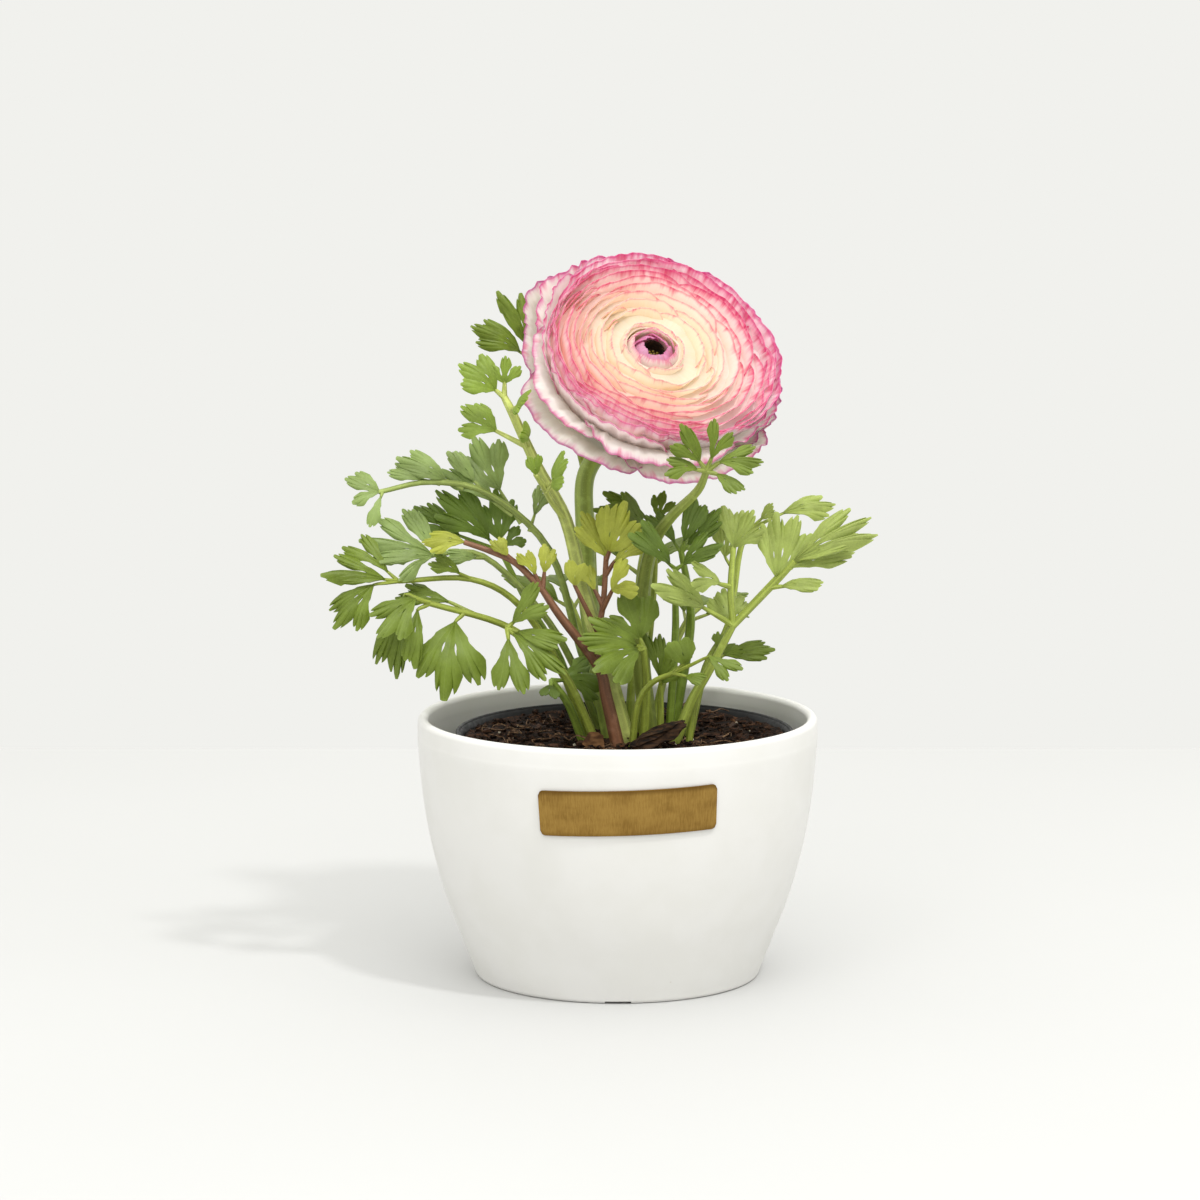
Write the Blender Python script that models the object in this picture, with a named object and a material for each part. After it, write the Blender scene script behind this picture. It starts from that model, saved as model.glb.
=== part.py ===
"""A double ranunculus in bloom, growing in a black nursery pot that stands in a white cachepot.

Lengths in this file are millimetres, turned into metres where a mesh is made. +Z is up, the name
plate faces -Y, and the origin is the centre of the cachepot's flat underside.
"""

from collections import namedtuple
from math import atan2, cos, pi, radians, sin

import bmesh
import bpy
from mathutils import Matrix, Vector

MM = 0.001
GAP = 0.3  # what touching pieces keep between them
LAP = 0.8  # how far joined stalks and blades run into each other

# Cachepot: the outer wall from the foot to the lip, then the wall's thickness.
POT_WALL = ((49.5, 0), (51, 3.5), (55.2, 14.5), (60.6, 29), (65.2, 46), (68.2, 63), (70, 82))
POT_HEIGHT = 92
POT_THICK = 3.6
POT_FLOOR = 5
POT_SIDES = 36
NOTCH = (9, 7, 0.8)  # width, depth and height of the notch under the front of the foot

# Name plate, wrapped round the front of the cachepot.
PLATE_LENGTH = 61.5
PLATE_HEIGHT = 15.7
PLATE_THICK = 0.7
PLATE_CORNER = 1.8
PLATE_CENTRE = (3.6, 70.5)  # along the wall from the front, and up
PLATE_TILT = radians(1.6)

# Nursery pot and the potting mix in it, a little off the cachepot's centre.
GROW_X = 2.5
GROW_BOTTOM, GROW_TOP = 5.3, 86.5
GROW_FOOT, GROW_RIM = 44, 58.2
GROW_THICK = 0.9
GROW_SIDES = 32
DRAIN_HOLES = 6
DRAIN_RADIUS = 4
SOIL_TOP = 83  # the level crown, where the stems come out
SOIL_EDGE = 80.5
CROWN_RADIUS = 36

# Bloom: its axis leans to the front and a little to the right. Heights run along it from the calyx.
CALYX = Vector((1.8, 21.5, 190.5))
AXIS = Vector((0.246, -0.655, 0.714)).normalized()
FRONT = Vector((0, -1, 0.15))
PETAL_THICK = 0.5
CONE_FOOT, CONE_TAPER = 6.9, 0.33  # the receptacle's radius at its foot, and what it loses per mm
EYE_HEIGHT = 37
EYE_RADIUS = 4.2
# Petal profiles from the inmost ring to the outmost: share of the way out, then control points
# (radius, height) past the base, which sits on the receptacle.
PROFILES = (
    (0.0, (8, 22), (9, 38), (5, 45)),
    (0.25, (14, 18), (19, 36), (14, 46.5)),
    (0.5, (20, 12), (29, 32), (25, 46)),
    (0.75, (25, 6), (38, 24), (35.5, 45.5)),
    (1.0, (30, 1), (46, 18), (44.5, 44)),
    (1.15, (31.5, -0.5), (47, 12), (46.5, 37)),
    (1.3, (33, -2.5), (48, 7), (48.5, 29)),
)
WHORLS = (0.0, 0.17, 0.34, 0.5, 0.66, 0.82)
PETAL_RINGS = (("petal_upper", 0.97), ("petal_middle", 1.14), ("petal_guard", 1.3))
PETALS_PER_RING = 5

# The bloom's stem leans back from the crown and bends up to the calyx.
FLOWER_STEM = (
    (-2, 4, SOIL_TOP + GAP), (-7, 7, 110), (-10.5, 10, 133), (-11.5, 16, 156), (-11.5, 22, 172),
    (-6.5, 26, 181), tuple(CALYX - 7 * AXIS), tuple(CALYX - 3.3 * AXIS),
)

# The leaves. A route is a line of way-points (x, y, z) with the blades along it. A leaf's first route
# is its petiole, up from the soil, and the others branch from it. A blade leaves its route at a share
# of the route's length, on a stalk. Seen from the front, aim is 0 to the right and 90 straight up, and
# toward is how far it points at the viewer. The reach is that of its middle lobe, and spread is the
# angle between its outer lobes. turn is the stalk's aim less the blade's.
Leaf = namedtuple("Leaf", "name thick thin broad facing routes")
Route = namedtuple("Route", "points blades")
Blade = namedtuple("Blade", "at aim toward stalk reach lobes spread turn", defaults=(0,))
SOIL_LINE = SOIL_TOP + GAP
UPRIGHT = (0, -0.85, 0.5)
LEVEL = (0, -0.3, 0.95)
LEAVES = (
    # Left side, from the top down.
    Leaf("leaf_behind_bloom", 1.6, 1.0, 0.25, UPRIGHT, (
        Route(
            ((-1, 17, SOIL_LINE), (-8, 26, 130), (-10, 38, 163), (-18, 46, 194), (-30, 40, 213)),
            (Blade(1, 148, 20, 6, 20, 3, 32), Blade(1, 112, 10, 6, 21, 3, 28)),
        ),
    )),
    Leaf("leafy_stem", 3.2, 1.4, 0.32, UPRIGHT, (
        Route(
            (
                (3, -7, SOIL_LINE), (-5, -8, 114), (-12, -8, 137), (-18, -9, 162),
                (-28, -16, 182), (-36, -20, 200), (-39, -20, 206),
            ),
            (
                Blade(1, 140, 12, 4, 15, 3, 60), Blade(1, 88, 8, 5, 9, 3, 80),
                Blade(0.85, 155, -20, 13, 15, 3, 60), Blade(0.96, 40, 62, 6, 10, 3, 60),
                Blade(0.85, 100, 58, 6, 11, 2, 35),
            ),
        ),
        Route(
            ((-18, -9, 162), (-23, -17, 170), (-26, -27, 177), (-28, -33, 181)),
            (Blade(1, 106, 34, 0, 9, 2, 35), Blade(0.6, 54, 54, 8, 14, 3, 60)),
        ),
    )),
    Leaf("leaf_arching", 1.5, 1.0, 0.3, UPRIGHT, (
        Route(
            (
                (-3, 13, SOIL_LINE), (-13, 12, 113), (-24, 9, 149),
                (-45, 6, 169), (-65, 1, 174), (-83, -3, 171),
            ),
            (
                Blade(1, 165, 8, 0, 12, 3, 65), Blade(0.99, -108, 25, 2, 12, 1, 0),
                Blade(0.84, 165, 5, 6, 13, 2, 30), Blade(0.78, 152, 5, 7, 18, 3, 36),
                Blade(0.72, 132, 0, 6, 14, 2, 30), Blade(0.63, 143, 0, 8, 22, 2, 28),
                Blade(0.6, 122, -5, 14, 20, 3, 50), Blade(0.57, 72, -15, 6, 11, 2, 30),
            ),
        ),
    )),
    Leaf("leaf_left_dark", 1.5, 1.1, 0.4, UPRIGHT, (
        Route(
            ((-12, 13, SOIL_LINE), (-20, 14, 109), (-32, 14, 130), (-41, 13, 148)),
            (
                Blade(1, 134, 10, 6, 25, 3, 32), Blade(1, 97, -10, 4, 17, 3, 55),
                Blade(1, 150, 8, 16, 18, 3, 34, 8), Blade(1, 45, -8, 3, 8, 2, 55),
            ),
        ),
    )),
    Leaf("leaf_left_middle", 1.4, 1.0, 0.33, UPRIGHT, (
        Route(
            ((-6, 13, SOIL_LINE), (-15, 9, 107), (-27, 5, 128), (-47, 1, 148), (-65, -2, 149)),
            (
                Blade(1, 164, 12, 0, 25, 3, 28), Blade(0.98, 127, -15, 2, 18, 2, 26),
                Blade(0.92, -172, 28, 8, 19, 3, 30), Blade(0.8, 177, 35, 4, 13, 2, 25),
            ),
        ),
    )),
    Leaf("leaf_left_long", 1.5, 1.0, 0.31, UPRIGHT, (
        Route(
            ((-10, 7, SOIL_LINE), (-20, 3, 108), (-34, -3, 131), (-51, -7, 141), (-76, -12, 141)),
            (
                Blade(1, 170, 15, 5, 22, 3, 26), Blade(1, 139, -4, 5, 18, 2, 24),
                Blade(1, -134, 18, 9, 20, 3, 36, -40), Blade(0.74, 150, 25, 6, 13, 2, 28),
            ),
        ),
    )),
    Leaf("leaf_drooping", 1.6, 1.2, 0.42, UPRIGHT, (
        Route(
            ((-12, 1, SOIL_LINE), (-18, -3, 105), (-28, -7, 117), (-41, -10, 126), (-65, -17, 134)),
            (
                Blade(0.84, -101, 25, 5, 27, 4, 58, -35), Blade(1, -93, 22, 5, 21, 2, 22, -60),
                Blade(1, -142, 32, 6, 20, 3, 36, -60), Blade(1, -100, 0, 9, 30, 2, 20, -100),
                Blade(0.77, 175, -8, 12, 19, 2, 24, -20),
            ),
        ),
    )),
    Leaf("leaf_left_front", 1.5, 1.3, 0.45, UPRIGHT, (
        Route(
            ((-7, -12, SOIL_LINE), (-20, -20, 112), (-38, -28, 127)),
            (
                Blade(1, 46, 16, 3, 17, 2, 30), Blade(1, -14, 20, 4, 18, 2, 26),
                Blade(1, -40, 24, 3, 24, 2, 20), Blade(1, -84, 27, 4, 21, 2, 28),
            ),
        ),
    )),
    Leaf("leaf_low", 1.6, 1.4, 0.75, UPRIGHT, (
        Route(
            ((-12, -7, SOIL_LINE), (-17, -10, 97), (-23, -12, 106)),
            (Blade(1, -3, -30, 4, 17, 3, 57), Blade(1, -100, 60, 3, 7, 2, 50)),
        ),
    )),
    # The brown stalk in front, with a pale leaf to its left and a yellow-green one above.
    Leaf("leaf_red_stalk", 2.4, 1.3, 0.38, UPRIGHT, (
        Route(
            ((0, -14, SOIL_LINE), (-4, -15, 101), (-7, -16, 112), (-20, -19, 130), (-26, -19, 139)),
            (Blade(1, 115, 3, 6, 10, 2, 30), Blade(1, 84, -12, 6, 10, 2, 38)),
        ),
        Route(
            ((-26, -19, 139), (-35, -18, 148), (-44, -16, 152), (-53, -15, 155)),
            (Blade(1, 177, 3, 0, 14, 3, 34), Blade(0.4, 135, 3, 4, 8, 2, 40)),
        ),
        Route(
            ((-7, -16, 112), (-7, -15, 122), (-5, -14, 134), (-4, -14, 150)),
            (
                Blade(1, 122, 0, 0, 17, 3, 40), Blade(0.97, 68, 22, 4, 19, 3, 56),
                Blade(0.82, 38, 22, 7, 19, 2, 20, 20), Blade(0.5, 50, 28, 10, 13, 2, 56, 15),
                Blade(0.3, 95, 16, 20, 10, 2, 45, 20), Blade(0.55, 118, -4, 6, 10, 2, 30),
            ),
        ),
    )),
    # Middle.
    Leaf("leaf_centre", 1.8, 1.4, 0.42, UPRIGHT, (
        Route(
            ((9, -9, SOIL_LINE), (10, -12, 103), (9, -16, 118)),
            (
                Blade(1, -168, 44, 3, 23, 3, 42), Blade(1, 157, 22, 3, 23, 2, 22),
                Blade(1, 110, 2, 4, 17, 3, 74),
            ),
        ),
    )),
    Leaf("leaf_centre_low", 1.3, 1.0, 0.45, UPRIGHT, (
        Route(
            ((15, -7, SOIL_LINE), (15, -8, 98), (15, -9, 104)),
            (Blade(1, 98, 2, 3, 17, 2, 26), Blade(1, 60, 36, 2, 13, 2, 34)),
        ),
    )),
    Leaf("side_stem", 3.3, 1.3, 0.42, UPRIGHT, (
        Route(
            (
                (11, 0, SOIL_LINE), (8, -1, 115), (9, -3, 137), (12, -10, 153),
                (18, -20, 164), (27, -33, 175), (30, -41, 183),
            ),
            (
                Blade(1, 125, 23, 5, 15, 3, 40), Blade(1, 71, 16, 5, 14, 2, 26),
                Blade(1, 168, 31, 4, 14, 2, 26), Blade(1, 6, 22, 6, 15, 3, 34, 30),
                Blade(1, -34, 29, 4, 12, 2, 28, 20),
            ),
        ),
    )),
    Leaf("leaf_under_bloom", 1.5, 1.0, 0.28, UPRIGHT, (
        Route(
            ((7, 10, SOIL_LINE), (11, 12, 116), (13, 12, 139), (13, 8, 157)),
            (
                Blade(1, 160, 21, 5, 21, 2, 20, -30), Blade(0.98, 180, -8, 5, 16, 2, 26),
                Blade(0.96, 142, 35, 7, 18, 3, 46), Blade(1, 72, -15, 4, 9, 3, 62),
            ),
        ),
    )),
    # Right side.
    Leaf("leaf_right_inner", 1.5, 1.1, 0.38, UPRIGHT, (
        Route(
            ((18, -1, SOIL_LINE), (20, -6, 119), (20, -12, 134), (20, -18, 146)),
            (Blade(1, 136, 33, 4, 23, 2, 24), Blade(1, 36, 24, 4, 16, 3, 32)),
        ),
    )),
    Leaf("leaf_right_dark", 2.0, 1.2, 0.45, UPRIGHT, (
        Route(
            ((19, 6, SOIL_LINE), (25, 4, 118), (25, -3, 134), (22, -11, 151)),
            (
                Blade(1, 125, -12, 4, 14, 2, 26), Blade(1, 76, 25, 5, 19, 2, 24),
                Blade(1, 48, 16, 4, 17, 3, 32),
            ),
        ),
    )),
    Leaf("leaf_right_pale", 2.0, 1.4, 0.45, UPRIGHT, (
        Route(
            ((20, -8, SOIL_LINE), (26, -10, 99), (32, -12, 110), (40, -15, 126)),
            (Blade(1, 146, 24, 14, 22, 3, 32), Blade(0.97, 100, -40, 4, 12, 3, 80)),
        ),
        Route(
            ((40, -15, 126), (39, -17, 139), (40, -13, 153)),
            (
                Blade(0.5, 157, 42, 6, 16, 2, 30), Blade(1, 46, 8, 0, 15, 2, 34),
                Blade(1, 94, -12, 0, 15, 2, 38),
            ),
        ),
        Route(
            ((40, -15, 126), (47, -16, 134), (55, -17, 143)),
            (Blade(1, 76, -2, 0, 22, 4, 60),),
        ),
        Route(
            ((47, -16, 134), (54, -18, 141), (61, -20, 149)),
            (
                Blade(1, 30, 10, 0, 30, 4, 30), Blade(0.9, 13, -8, 0, 25, 2, 18),
                Blade(0.6, 7, 18, 4, 15, 2, 24),
            ),
        ),
    )),
    Leaf("leaf_right_back", 1.5, 1.0, 0.4, UPRIGHT, (
        Route(
            ((25, 2, SOIL_LINE), (31, 5, 108), (39, 8, 123), (43, 12, 148), (47, 13, 156)),
            (
                Blade(1, 45, 8, 5, 7, 2, 40), Blade(1, 10, -20, 13, 19, 3, 28, 13),
                Blade(0.77, 81, -5, 8, 13, 3, 48, 39),
            ),
        ),
    )),
    Leaf("leaf_right_low", 1.3, 1.0, 0.5, UPRIGHT, (
        Route(
            ((5, -15, SOIL_LINE), (7, -19, 99), (12, -22, 107), (19, -26, 111)),
            (
                Blade(1, 107, 24, 6, 11, 2, 60, -60), Blade(1, -34, 28, 16, 13, 2, 28, 64),
                Blade(1, -6, 39, 6, 8, 2, 35),
            ),
        ),
    )),
    Leaf("leaf_right_small", 1.3, 1.0, 0.35, UPRIGHT, (
        Route(
            ((25, -4, SOIL_LINE), (28, -2, 101), (34, -1, 111)),
            (Blade(1, 4, 3, 4, 17, 3, 30, 30), Blade(1, 60, -33, 3, 9, 2, 70)),
        ),
    )),
    # Behind, out of sight from the front.
    Leaf("leaf_back_left", 1.5, 1.1, 0.38, LEVEL, (
        Route(
            ((-7, 19, SOIL_LINE), (-10, 28, 108), (-16, 38, 124), (-20, 46, 130)),
            (
                Blade(1, 180, -75, 0, 24, 3, 50), Blade(0.8, 155, -28, 7, 23, 2, 30),
                Blade(0.8, 54, -60, 8, 19, 2, 30),
            ),
        ),
    )),
    Leaf("leaf_back", 1.6, 1.1, 0.38, LEVEL, (
        Route(
            ((4, 17, SOIL_LINE), (6, 26, 112), (8, 38, 136), (10, 48, 146)),
            (
                Blade(1, 90, -80, 0, 23, 3, 50), Blade(0.8, 149, -42, 9, 24, 2, 28),
                Blade(0.8, 29, -36, 8, 23, 2, 28),
            ),
        ),
    )),
    Leaf("leaf_back_right", 1.5, 1.1, 0.38, LEVEL, (
        Route(
            ((12, 15, SOIL_LINE), (18, 24, 106), (25, 34, 120), (30, 42, 124)),
            (
                Blade(1, -19, -55, 0, 23, 3, 50), Blade(0.8, 16, -22, 8, 20, 2, 32),
                Blade(0.8, 111, -76, 9, 19, 2, 30),
            ),
        ),
    )),
)


GREEN = (0.17, 0.30, 0.06, 1)
FINISHES = {
    "ceramic_white": ((0.82, 0.82, 0.79, 1), 0.45, 0),
    "brass": ((0.48, 0.31, 0.11, 1), 0.38, 1),
    "black_plastic": ((0.02, 0.02, 0.022, 1), 0.4, 0),
    "soil": ((0.05, 0.03, 0.02, 1), 0.95, 0),
    "bark": ((0.06, 0.035, 0.02, 1), 0.9, 0),
    "leaf_green": (GREEN, 0.5, 0),
    "stem_green": ((0.27, 0.38, 0.10, 1), 0.45, 0),
    "petal": ((0.88, 0.55, 0.62, 1), 0.55, 0),
    "eye": ((0.12, 0.10, 0.03, 1), 0.5, 0),
}


def finish(name):
    """The material of this name, made once."""
    if name in bpy.data.materials:
        return bpy.data.materials[name]
    colour, roughness, metallic = FINISHES[name]
    material = bpy.data.materials.new(name)
    material.use_nodes = True
    shader = material.node_tree.nodes["Principled BSDF"]
    shader.inputs["Base Color"].default_value = colour
    shader.inputs["Roughness"].default_value = roughness
    shader.inputs["Metallic"].default_value = metallic
    material.diffuse_color = colour
    return material


def add(name, bm, material, helper=False):
    """An object from a bmesh in millimetres. A helper is a cutter or a shape to be joined."""
    mesh = bpy.data.meshes.new(name)
    bm.to_mesh(mesh)
    bm.free()
    mesh.materials.append(finish(material))
    obj = bpy.data.objects.new(name, mesh)
    bpy.context.scene.collection.objects.link(obj)
    if helper:
        obj.hide_render = True
        obj.display_type = "WIRE"
    return obj


def join(obj, helpers, operation="UNION"):
    """Joins each helper to the object, or cuts it out, and removes the helpers."""
    for helper in helpers:
        modifier = obj.modifiers.new(helper.name, "BOOLEAN")
        modifier.operation = operation
        modifier.solver = "EXACT"
        modifier.use_self = True
        modifier.object = helper
    bpy.context.view_layer.update()
    graph = bpy.context.evaluated_depsgraph_get()
    solid = bpy.data.meshes.new_from_object(obj.evaluated_get(graph))
    obj.modifiers.clear()
    obj.data = solid
    for helper in helpers:
        bpy.data.objects.remove(helper)
    return obj


def turned(profile, sides, centre=(0, 0)):
    """A closed solid of revolution: the profile of (radius, height) starts and ends on the axis."""
    bm = bmesh.new()
    rings = []
    for radius, height in profile:
        if radius == 0:
            rings.append([bm.verts.new((centre[0], centre[1], height))])
            continue
        turn = [2 * pi * i / sides for i in range(sides)]
        rings.append(
            [bm.verts.new((centre[0] + radius * cos(a), centre[1] + radius * sin(a), height)) for a in turn]
        )
    skin(bm, rings, closed=True)
    bmesh.ops.recalc_face_normals(bm, faces=bm.faces)
    return bm


def skin(bm, rings, closed):
    """Faces between each ring of points and the next. A ring of one point is a pole."""
    for low, high in zip(rings, rings[1:]):
        count = max(len(low), len(high))
        for i in range(count if closed else count - 1):
            j = (i + 1) % count
            corners = [low[i % len(low)], low[j % len(low)], high[j % len(high)], high[i % len(high)]]
            bm.faces.new(list(dict.fromkeys(corners)))


def smooth_route(points, steps):
    """A Catmull-Rom curve through the points, with this many steps from each to the next."""
    points = [Vector(p) for p in points]
    ends = [2 * points[0] - points[1], *points, 2 * points[-1] - points[-2]]
    route = []
    for a, b, c, d in zip(ends, ends[1:], ends[2:], ends[3:]):
        for step in range(steps):
            t = step / steps
            route.append(
                b + 0.5 * t * (c - a + t * (2 * a - 5 * b + 4 * c - d + t * (3 * b - a - 3 * c + d)))
            )
    return [*route, points[-1]]


def tube(points, thick, thin, sides=5, steps=2, level_start=False):
    """A closed tapering tube along the route. A level start gives it a horizontal lower end."""
    route = smooth_route(points, steps)
    bm = bmesh.new()
    rings = []
    side = Vector((1, 0, 0))
    for i, point in enumerate(route):
        ahead = (route[min(i + 1, len(route) - 1)] - route[max(i - 1, 0)]).normalized()
        if i == 0 and level_start:
            ahead = Vector((0, 0, 1))
        side = (side - side.dot(ahead) * ahead).normalized()
        other = ahead.cross(side)
        radius = thick + (thin - thick) * i / (len(route) - 1)
        turn = [2 * pi * k / sides for k in range(sides)]
        rings.append([bm.verts.new(point + radius * (cos(a) * side + sin(a) * other)) for a in turn])
    skin(bm, rings, closed=True)
    bm.faces.new(rings[0])
    bm.faces.new(rings[-1])
    bmesh.ops.recalc_face_normals(bm, faces=bm.faces)
    return bm


def thicken(bm, thickness):
    """Turns an open surface into a closed solid with its middle where the surface was."""
    bmesh.ops.remove_doubles(bm, verts=bm.verts, dist=0.01)
    bm.normal_update()
    faces = [[v.index for v in f.verts] for f in bm.faces]
    rim = []
    for edge in bm.edges:
        if edge.is_boundary:
            loop = edge.link_loops[0]
            rim.append((loop.vert.index, loop.link_loop_next.vert.index))
    half = thickness / 2
    above = [v.co + half * v.normal for v in bm.verts]
    below = [v.co - half * v.normal for v in bm.verts]
    bm.free()
    solid = bmesh.new()
    top = [solid.verts.new(co) for co in above]
    under = [solid.verts.new(co) for co in below]
    for face in faces:
        solid.faces.new([top[i] for i in face])
        solid.faces.new([under[i] for i in reversed(face)])
    for a, b in rim:
        solid.faces.new((top[b], top[a], under[a], under[b]))
    return solid


def blade(base, tips, width, facing, thickness=0.6):
    """A fan of wedge lobes spread from the base, as a thin solid. Lobes are joined up to the clefts."""
    base = Vector(base)
    reach = [Vector(t) - base for t in tips]
    facing = Vector(facing)
    if len(reach) > 1:
        spread = sum((a.cross(b) for a, b in zip(reach, reach[1:])), Vector())
        if spread.length > 1:
            facing = spread.normalized() * (1 if spread.dot(facing) > 0 else -1)
    middle = sum((r.normalized() for r in reach), Vector()).normalized()
    reach.sort(key=lambda r: atan2(facing.dot(middle.cross(r)), middle.dot(r)))
    cleft, shoulder = 0.4, 0.86
    arch = 0.07

    def rib(ray, t):
        return base + t * ray + arch * ray.length * 4 * t * (1 - t) * facing

    lobes = []
    for i, ray in enumerate(reach):
        side = facing.cross(ray).normalized()
        near = [reach[j] for j in (i - 1, i + 1) if 0 <= j < len(reach)]
        room = min([(rib(ray, shoulder) - rib(n, shoulder)).length for n in near] or [width * 2])
        half = min(width / 2, 0.46 * room)
        lobe = [[rib(ray, cleft) + s * side * half * 0.6 for s in (-1, 0, 1)]]
        lobe.append([rib(ray, shoulder) - side * half, rib(ray, 1), rib(ray, shoulder) + side * half])
        lobes.append(lobe)
    for a, b in zip(lobes, lobes[1:]):
        a[0][2] = b[0][0] = (a[0][2] + b[0][0]) / 2
    bm = bmesh.new()
    for lobe in lobes:
        skin(bm, [[bm.verts.new(base)], *([bm.verts.new(co) for co in row] for row in lobe)], closed=False)
    bmesh.ops.remove_doubles(bm, verts=bm.verts, dist=0.01)
    return thicken(bm, thickness)


def beyond(start, end, extra):
    """The end of a line made longer by extra, so that joined shapes overlap clearly."""
    start, end = Vector(start), Vector(end)
    return end + (end - start).normalized() * extra


def heading(aim, toward):
    """The direction of a blade or a stalk, from its two angles in degrees."""
    aim, toward = radians(aim), radians(toward)
    return Vector((cos(aim) * cos(toward), -sin(toward), sin(aim) * cos(toward)))


def along(route, share):
    """The point at this share of a route's length."""
    left = share * sum((b - a).length for a, b in zip(route, route[1:]))
    for a, b in zip(route, route[1:]):
        length = (b - a).length
        if left <= length:
            return a.lerp(b, left / length)
        left -= length
    return route[-1]


def lobe_tips(base, spec, facing):
    """The tips of a blade's lobes, fanned out round its own direction. The outer lobes are shorter."""
    ahead = heading(spec.aim, spec.toward)
    face = (Vector(facing) - ahead.dot(Vector(facing)) * ahead).normalized()
    side = face.cross(ahead)
    tips = []
    for i in range(spec.lobes):
        across = 2 * i / (spec.lobes - 1) - 1 if spec.lobes > 2 else (0.6, -1)[i]
        turn = radians(spec.spread / 2 * across)
        reach = spec.reach * (1 - 0.16 * across**2)
        tips.append(base + reach * (cos(turn) * ahead + sin(turn) * side))
    return tips


def leaf(spec):
    """A whole leaf as one solid: petiole, branches, stalks and blades."""
    helpers = []
    trunk = None
    for number, (points, blades) in enumerate(spec.routes):
        if trunk:
            points = [min(trunk, key=lambda p: (p - Vector(points[0])).length), *points[1:]]
            line = tube(points, 0.95 * spec.thin, 0.8 * spec.thin, sides=4, steps=1)
            helpers.append(add(f"{spec.name}_branch_{number}", line, "leaf_green", helper=True))
            route = smooth_route(points, 1)
        else:
            steps = 2 if len(points) < 6 else 1
            ends = [*points[:-1], beyond(points[-2], points[-1], LAP)]
            sides = 4 if spec.thick < 2 else 5
            line = tube(ends, spec.thick, spec.thin, sides, steps, level_start=True)
            body = add(spec.name, line, "leaf_green")
            route = smooth_route(points, steps)
            trunk = smooth_route(points, 8)
        for place, blade_spec in enumerate(blades):
            start = along(route, blade_spec.at)
            base = start + blade_spec.stalk * heading(blade_spec.aim + blade_spec.turn, blade_spec.toward)
            ahead = heading(blade_spec.aim, blade_spec.toward)
            if blade_spec.stalk > 1:
                stalk = tube((start, beyond(start, base, LAP)), 0.9 * spec.thin, 0.7, sides=3, steps=1)
                helpers.append(add(f"{spec.name}_stalk_{number}_{place}", stalk, "leaf_green", helper=True))
            tips = lobe_tips(base, blade_spec, spec.facing)
            width = spec.broad * blade_spec.reach
            surface = blade(base - LAP / 2 * ahead, tips, width, spec.facing)
            helpers.append(add(f"{spec.name}_blade_{number}_{place}", surface, "leaf_green", helper=True))
    return join(body, helpers)


def wall_radius(height):
    """The cachepot's outer radius at this height, straight between the wall's points."""
    for (r0, z0), (r1, z1) in zip(POT_WALL, POT_WALL[1:]):
        if height <= z1:
            return r0 + (r1 - r0) * (height - z0) / (z1 - z0)
    return POT_WALL[-1][0]


def cachepot():
    """The white pot: full round wall, rounded lip, flat underside with a small notch at the front."""
    lip = POT_WALL[-1][0]
    rim = (
        (lip, 86), (lip - 0.4, 90), (lip - 1.1, 91.6), (lip - 1.8, POT_HEIGHT),
        (lip - 2.7, 91.7), (lip - 3.4, 90.6),
    )
    inside = [(lip - POT_THICK, 86)]
    inside += [(r - POT_THICK, z) for r, z in reversed(POT_WALL) if z > 10]
    floor = ((48.6, 9), (47.4, POT_FLOOR + 1.2), (45.6, POT_FLOOR), (0, POT_FLOOR))
    profile = ((0, 0), *POT_WALL, *rim, *inside, *floor)
    pot = add("outer_pot", turned(profile, POT_SIDES), "ceramic_white")
    width, depth, height = NOTCH
    cutter = bmesh.new()
    bmesh.ops.create_cube(cutter, size=1)
    bmesh.ops.scale(cutter, vec=(width, 2 * depth, 2 * height), verts=cutter.verts)
    bmesh.ops.translate(cutter, vec=(0, -POT_WALL[0][0], 0), verts=cutter.verts)
    return join(pot, [add("notch", cutter, "ceramic_white", helper=True)], "DIFFERENCE")


def name_plate():
    """The blank brass plate: a strip with rounded corners, wrapped on the wall."""
    half_length, half_height = PLATE_LENGTH / 2, PLATE_HEIGHT / 2
    turns = (0, pi / 6, pi / 3, pi / 2)
    corner = [(PLATE_CORNER * (1 - cos(a)), PLATE_CORNER * (1 - sin(a))) for a in turns]
    columns = [(-half_length + inset, half_height - short) for inset, short in corner]
    middle = 9
    inner = half_length - PLATE_CORNER
    columns += [(-inner + 2 * inner * i / middle, half_height) for i in range(1, middle)]
    columns += [(-far, high) for far, high in reversed(columns[: len(corner)])]
    bm = bmesh.new()
    layers = []
    for lift in (GAP, GAP + PLATE_THICK):
        layer = []
        for across, high in columns:
            column = []
            for share in (-1, 0, 1):
                up = share * high
                s = PLATE_CENTRE[0] + across * cos(PLATE_TILT) - up * sin(PLATE_TILT)
                z = PLATE_CENTRE[1] + across * sin(PLATE_TILT) + up * cos(PLATE_TILT)
                radius = wall_radius(z) + lift
                angle = s / wall_radius(PLATE_CENTRE[1])
                column.append(bm.verts.new((radius * sin(angle), -radius * cos(angle), z)))
            layer.append(column)
        layers.append(layer)
    for layer in layers:
        skin(bm, layer, closed=False)
    inner_side, outer_side = layers
    for side in (0, -1):
        skin(bm, [[c[side] for c in inner_side], [c[side] for c in outer_side]], closed=False)
    for end in (0, -1):
        skin(bm, [inner_side[end], outer_side[end]], closed=False)
    bmesh.ops.recalc_face_normals(bm, faces=bm.faces)
    return add("name_plate", bm, "brass")


def grow_radius(height):
    """The nursery pot's outer radius at this height."""
    return GROW_FOOT + (GROW_RIM - GROW_FOOT) * (height - GROW_BOTTOM) / (GROW_TOP - GROW_BOTTOM)


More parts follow.
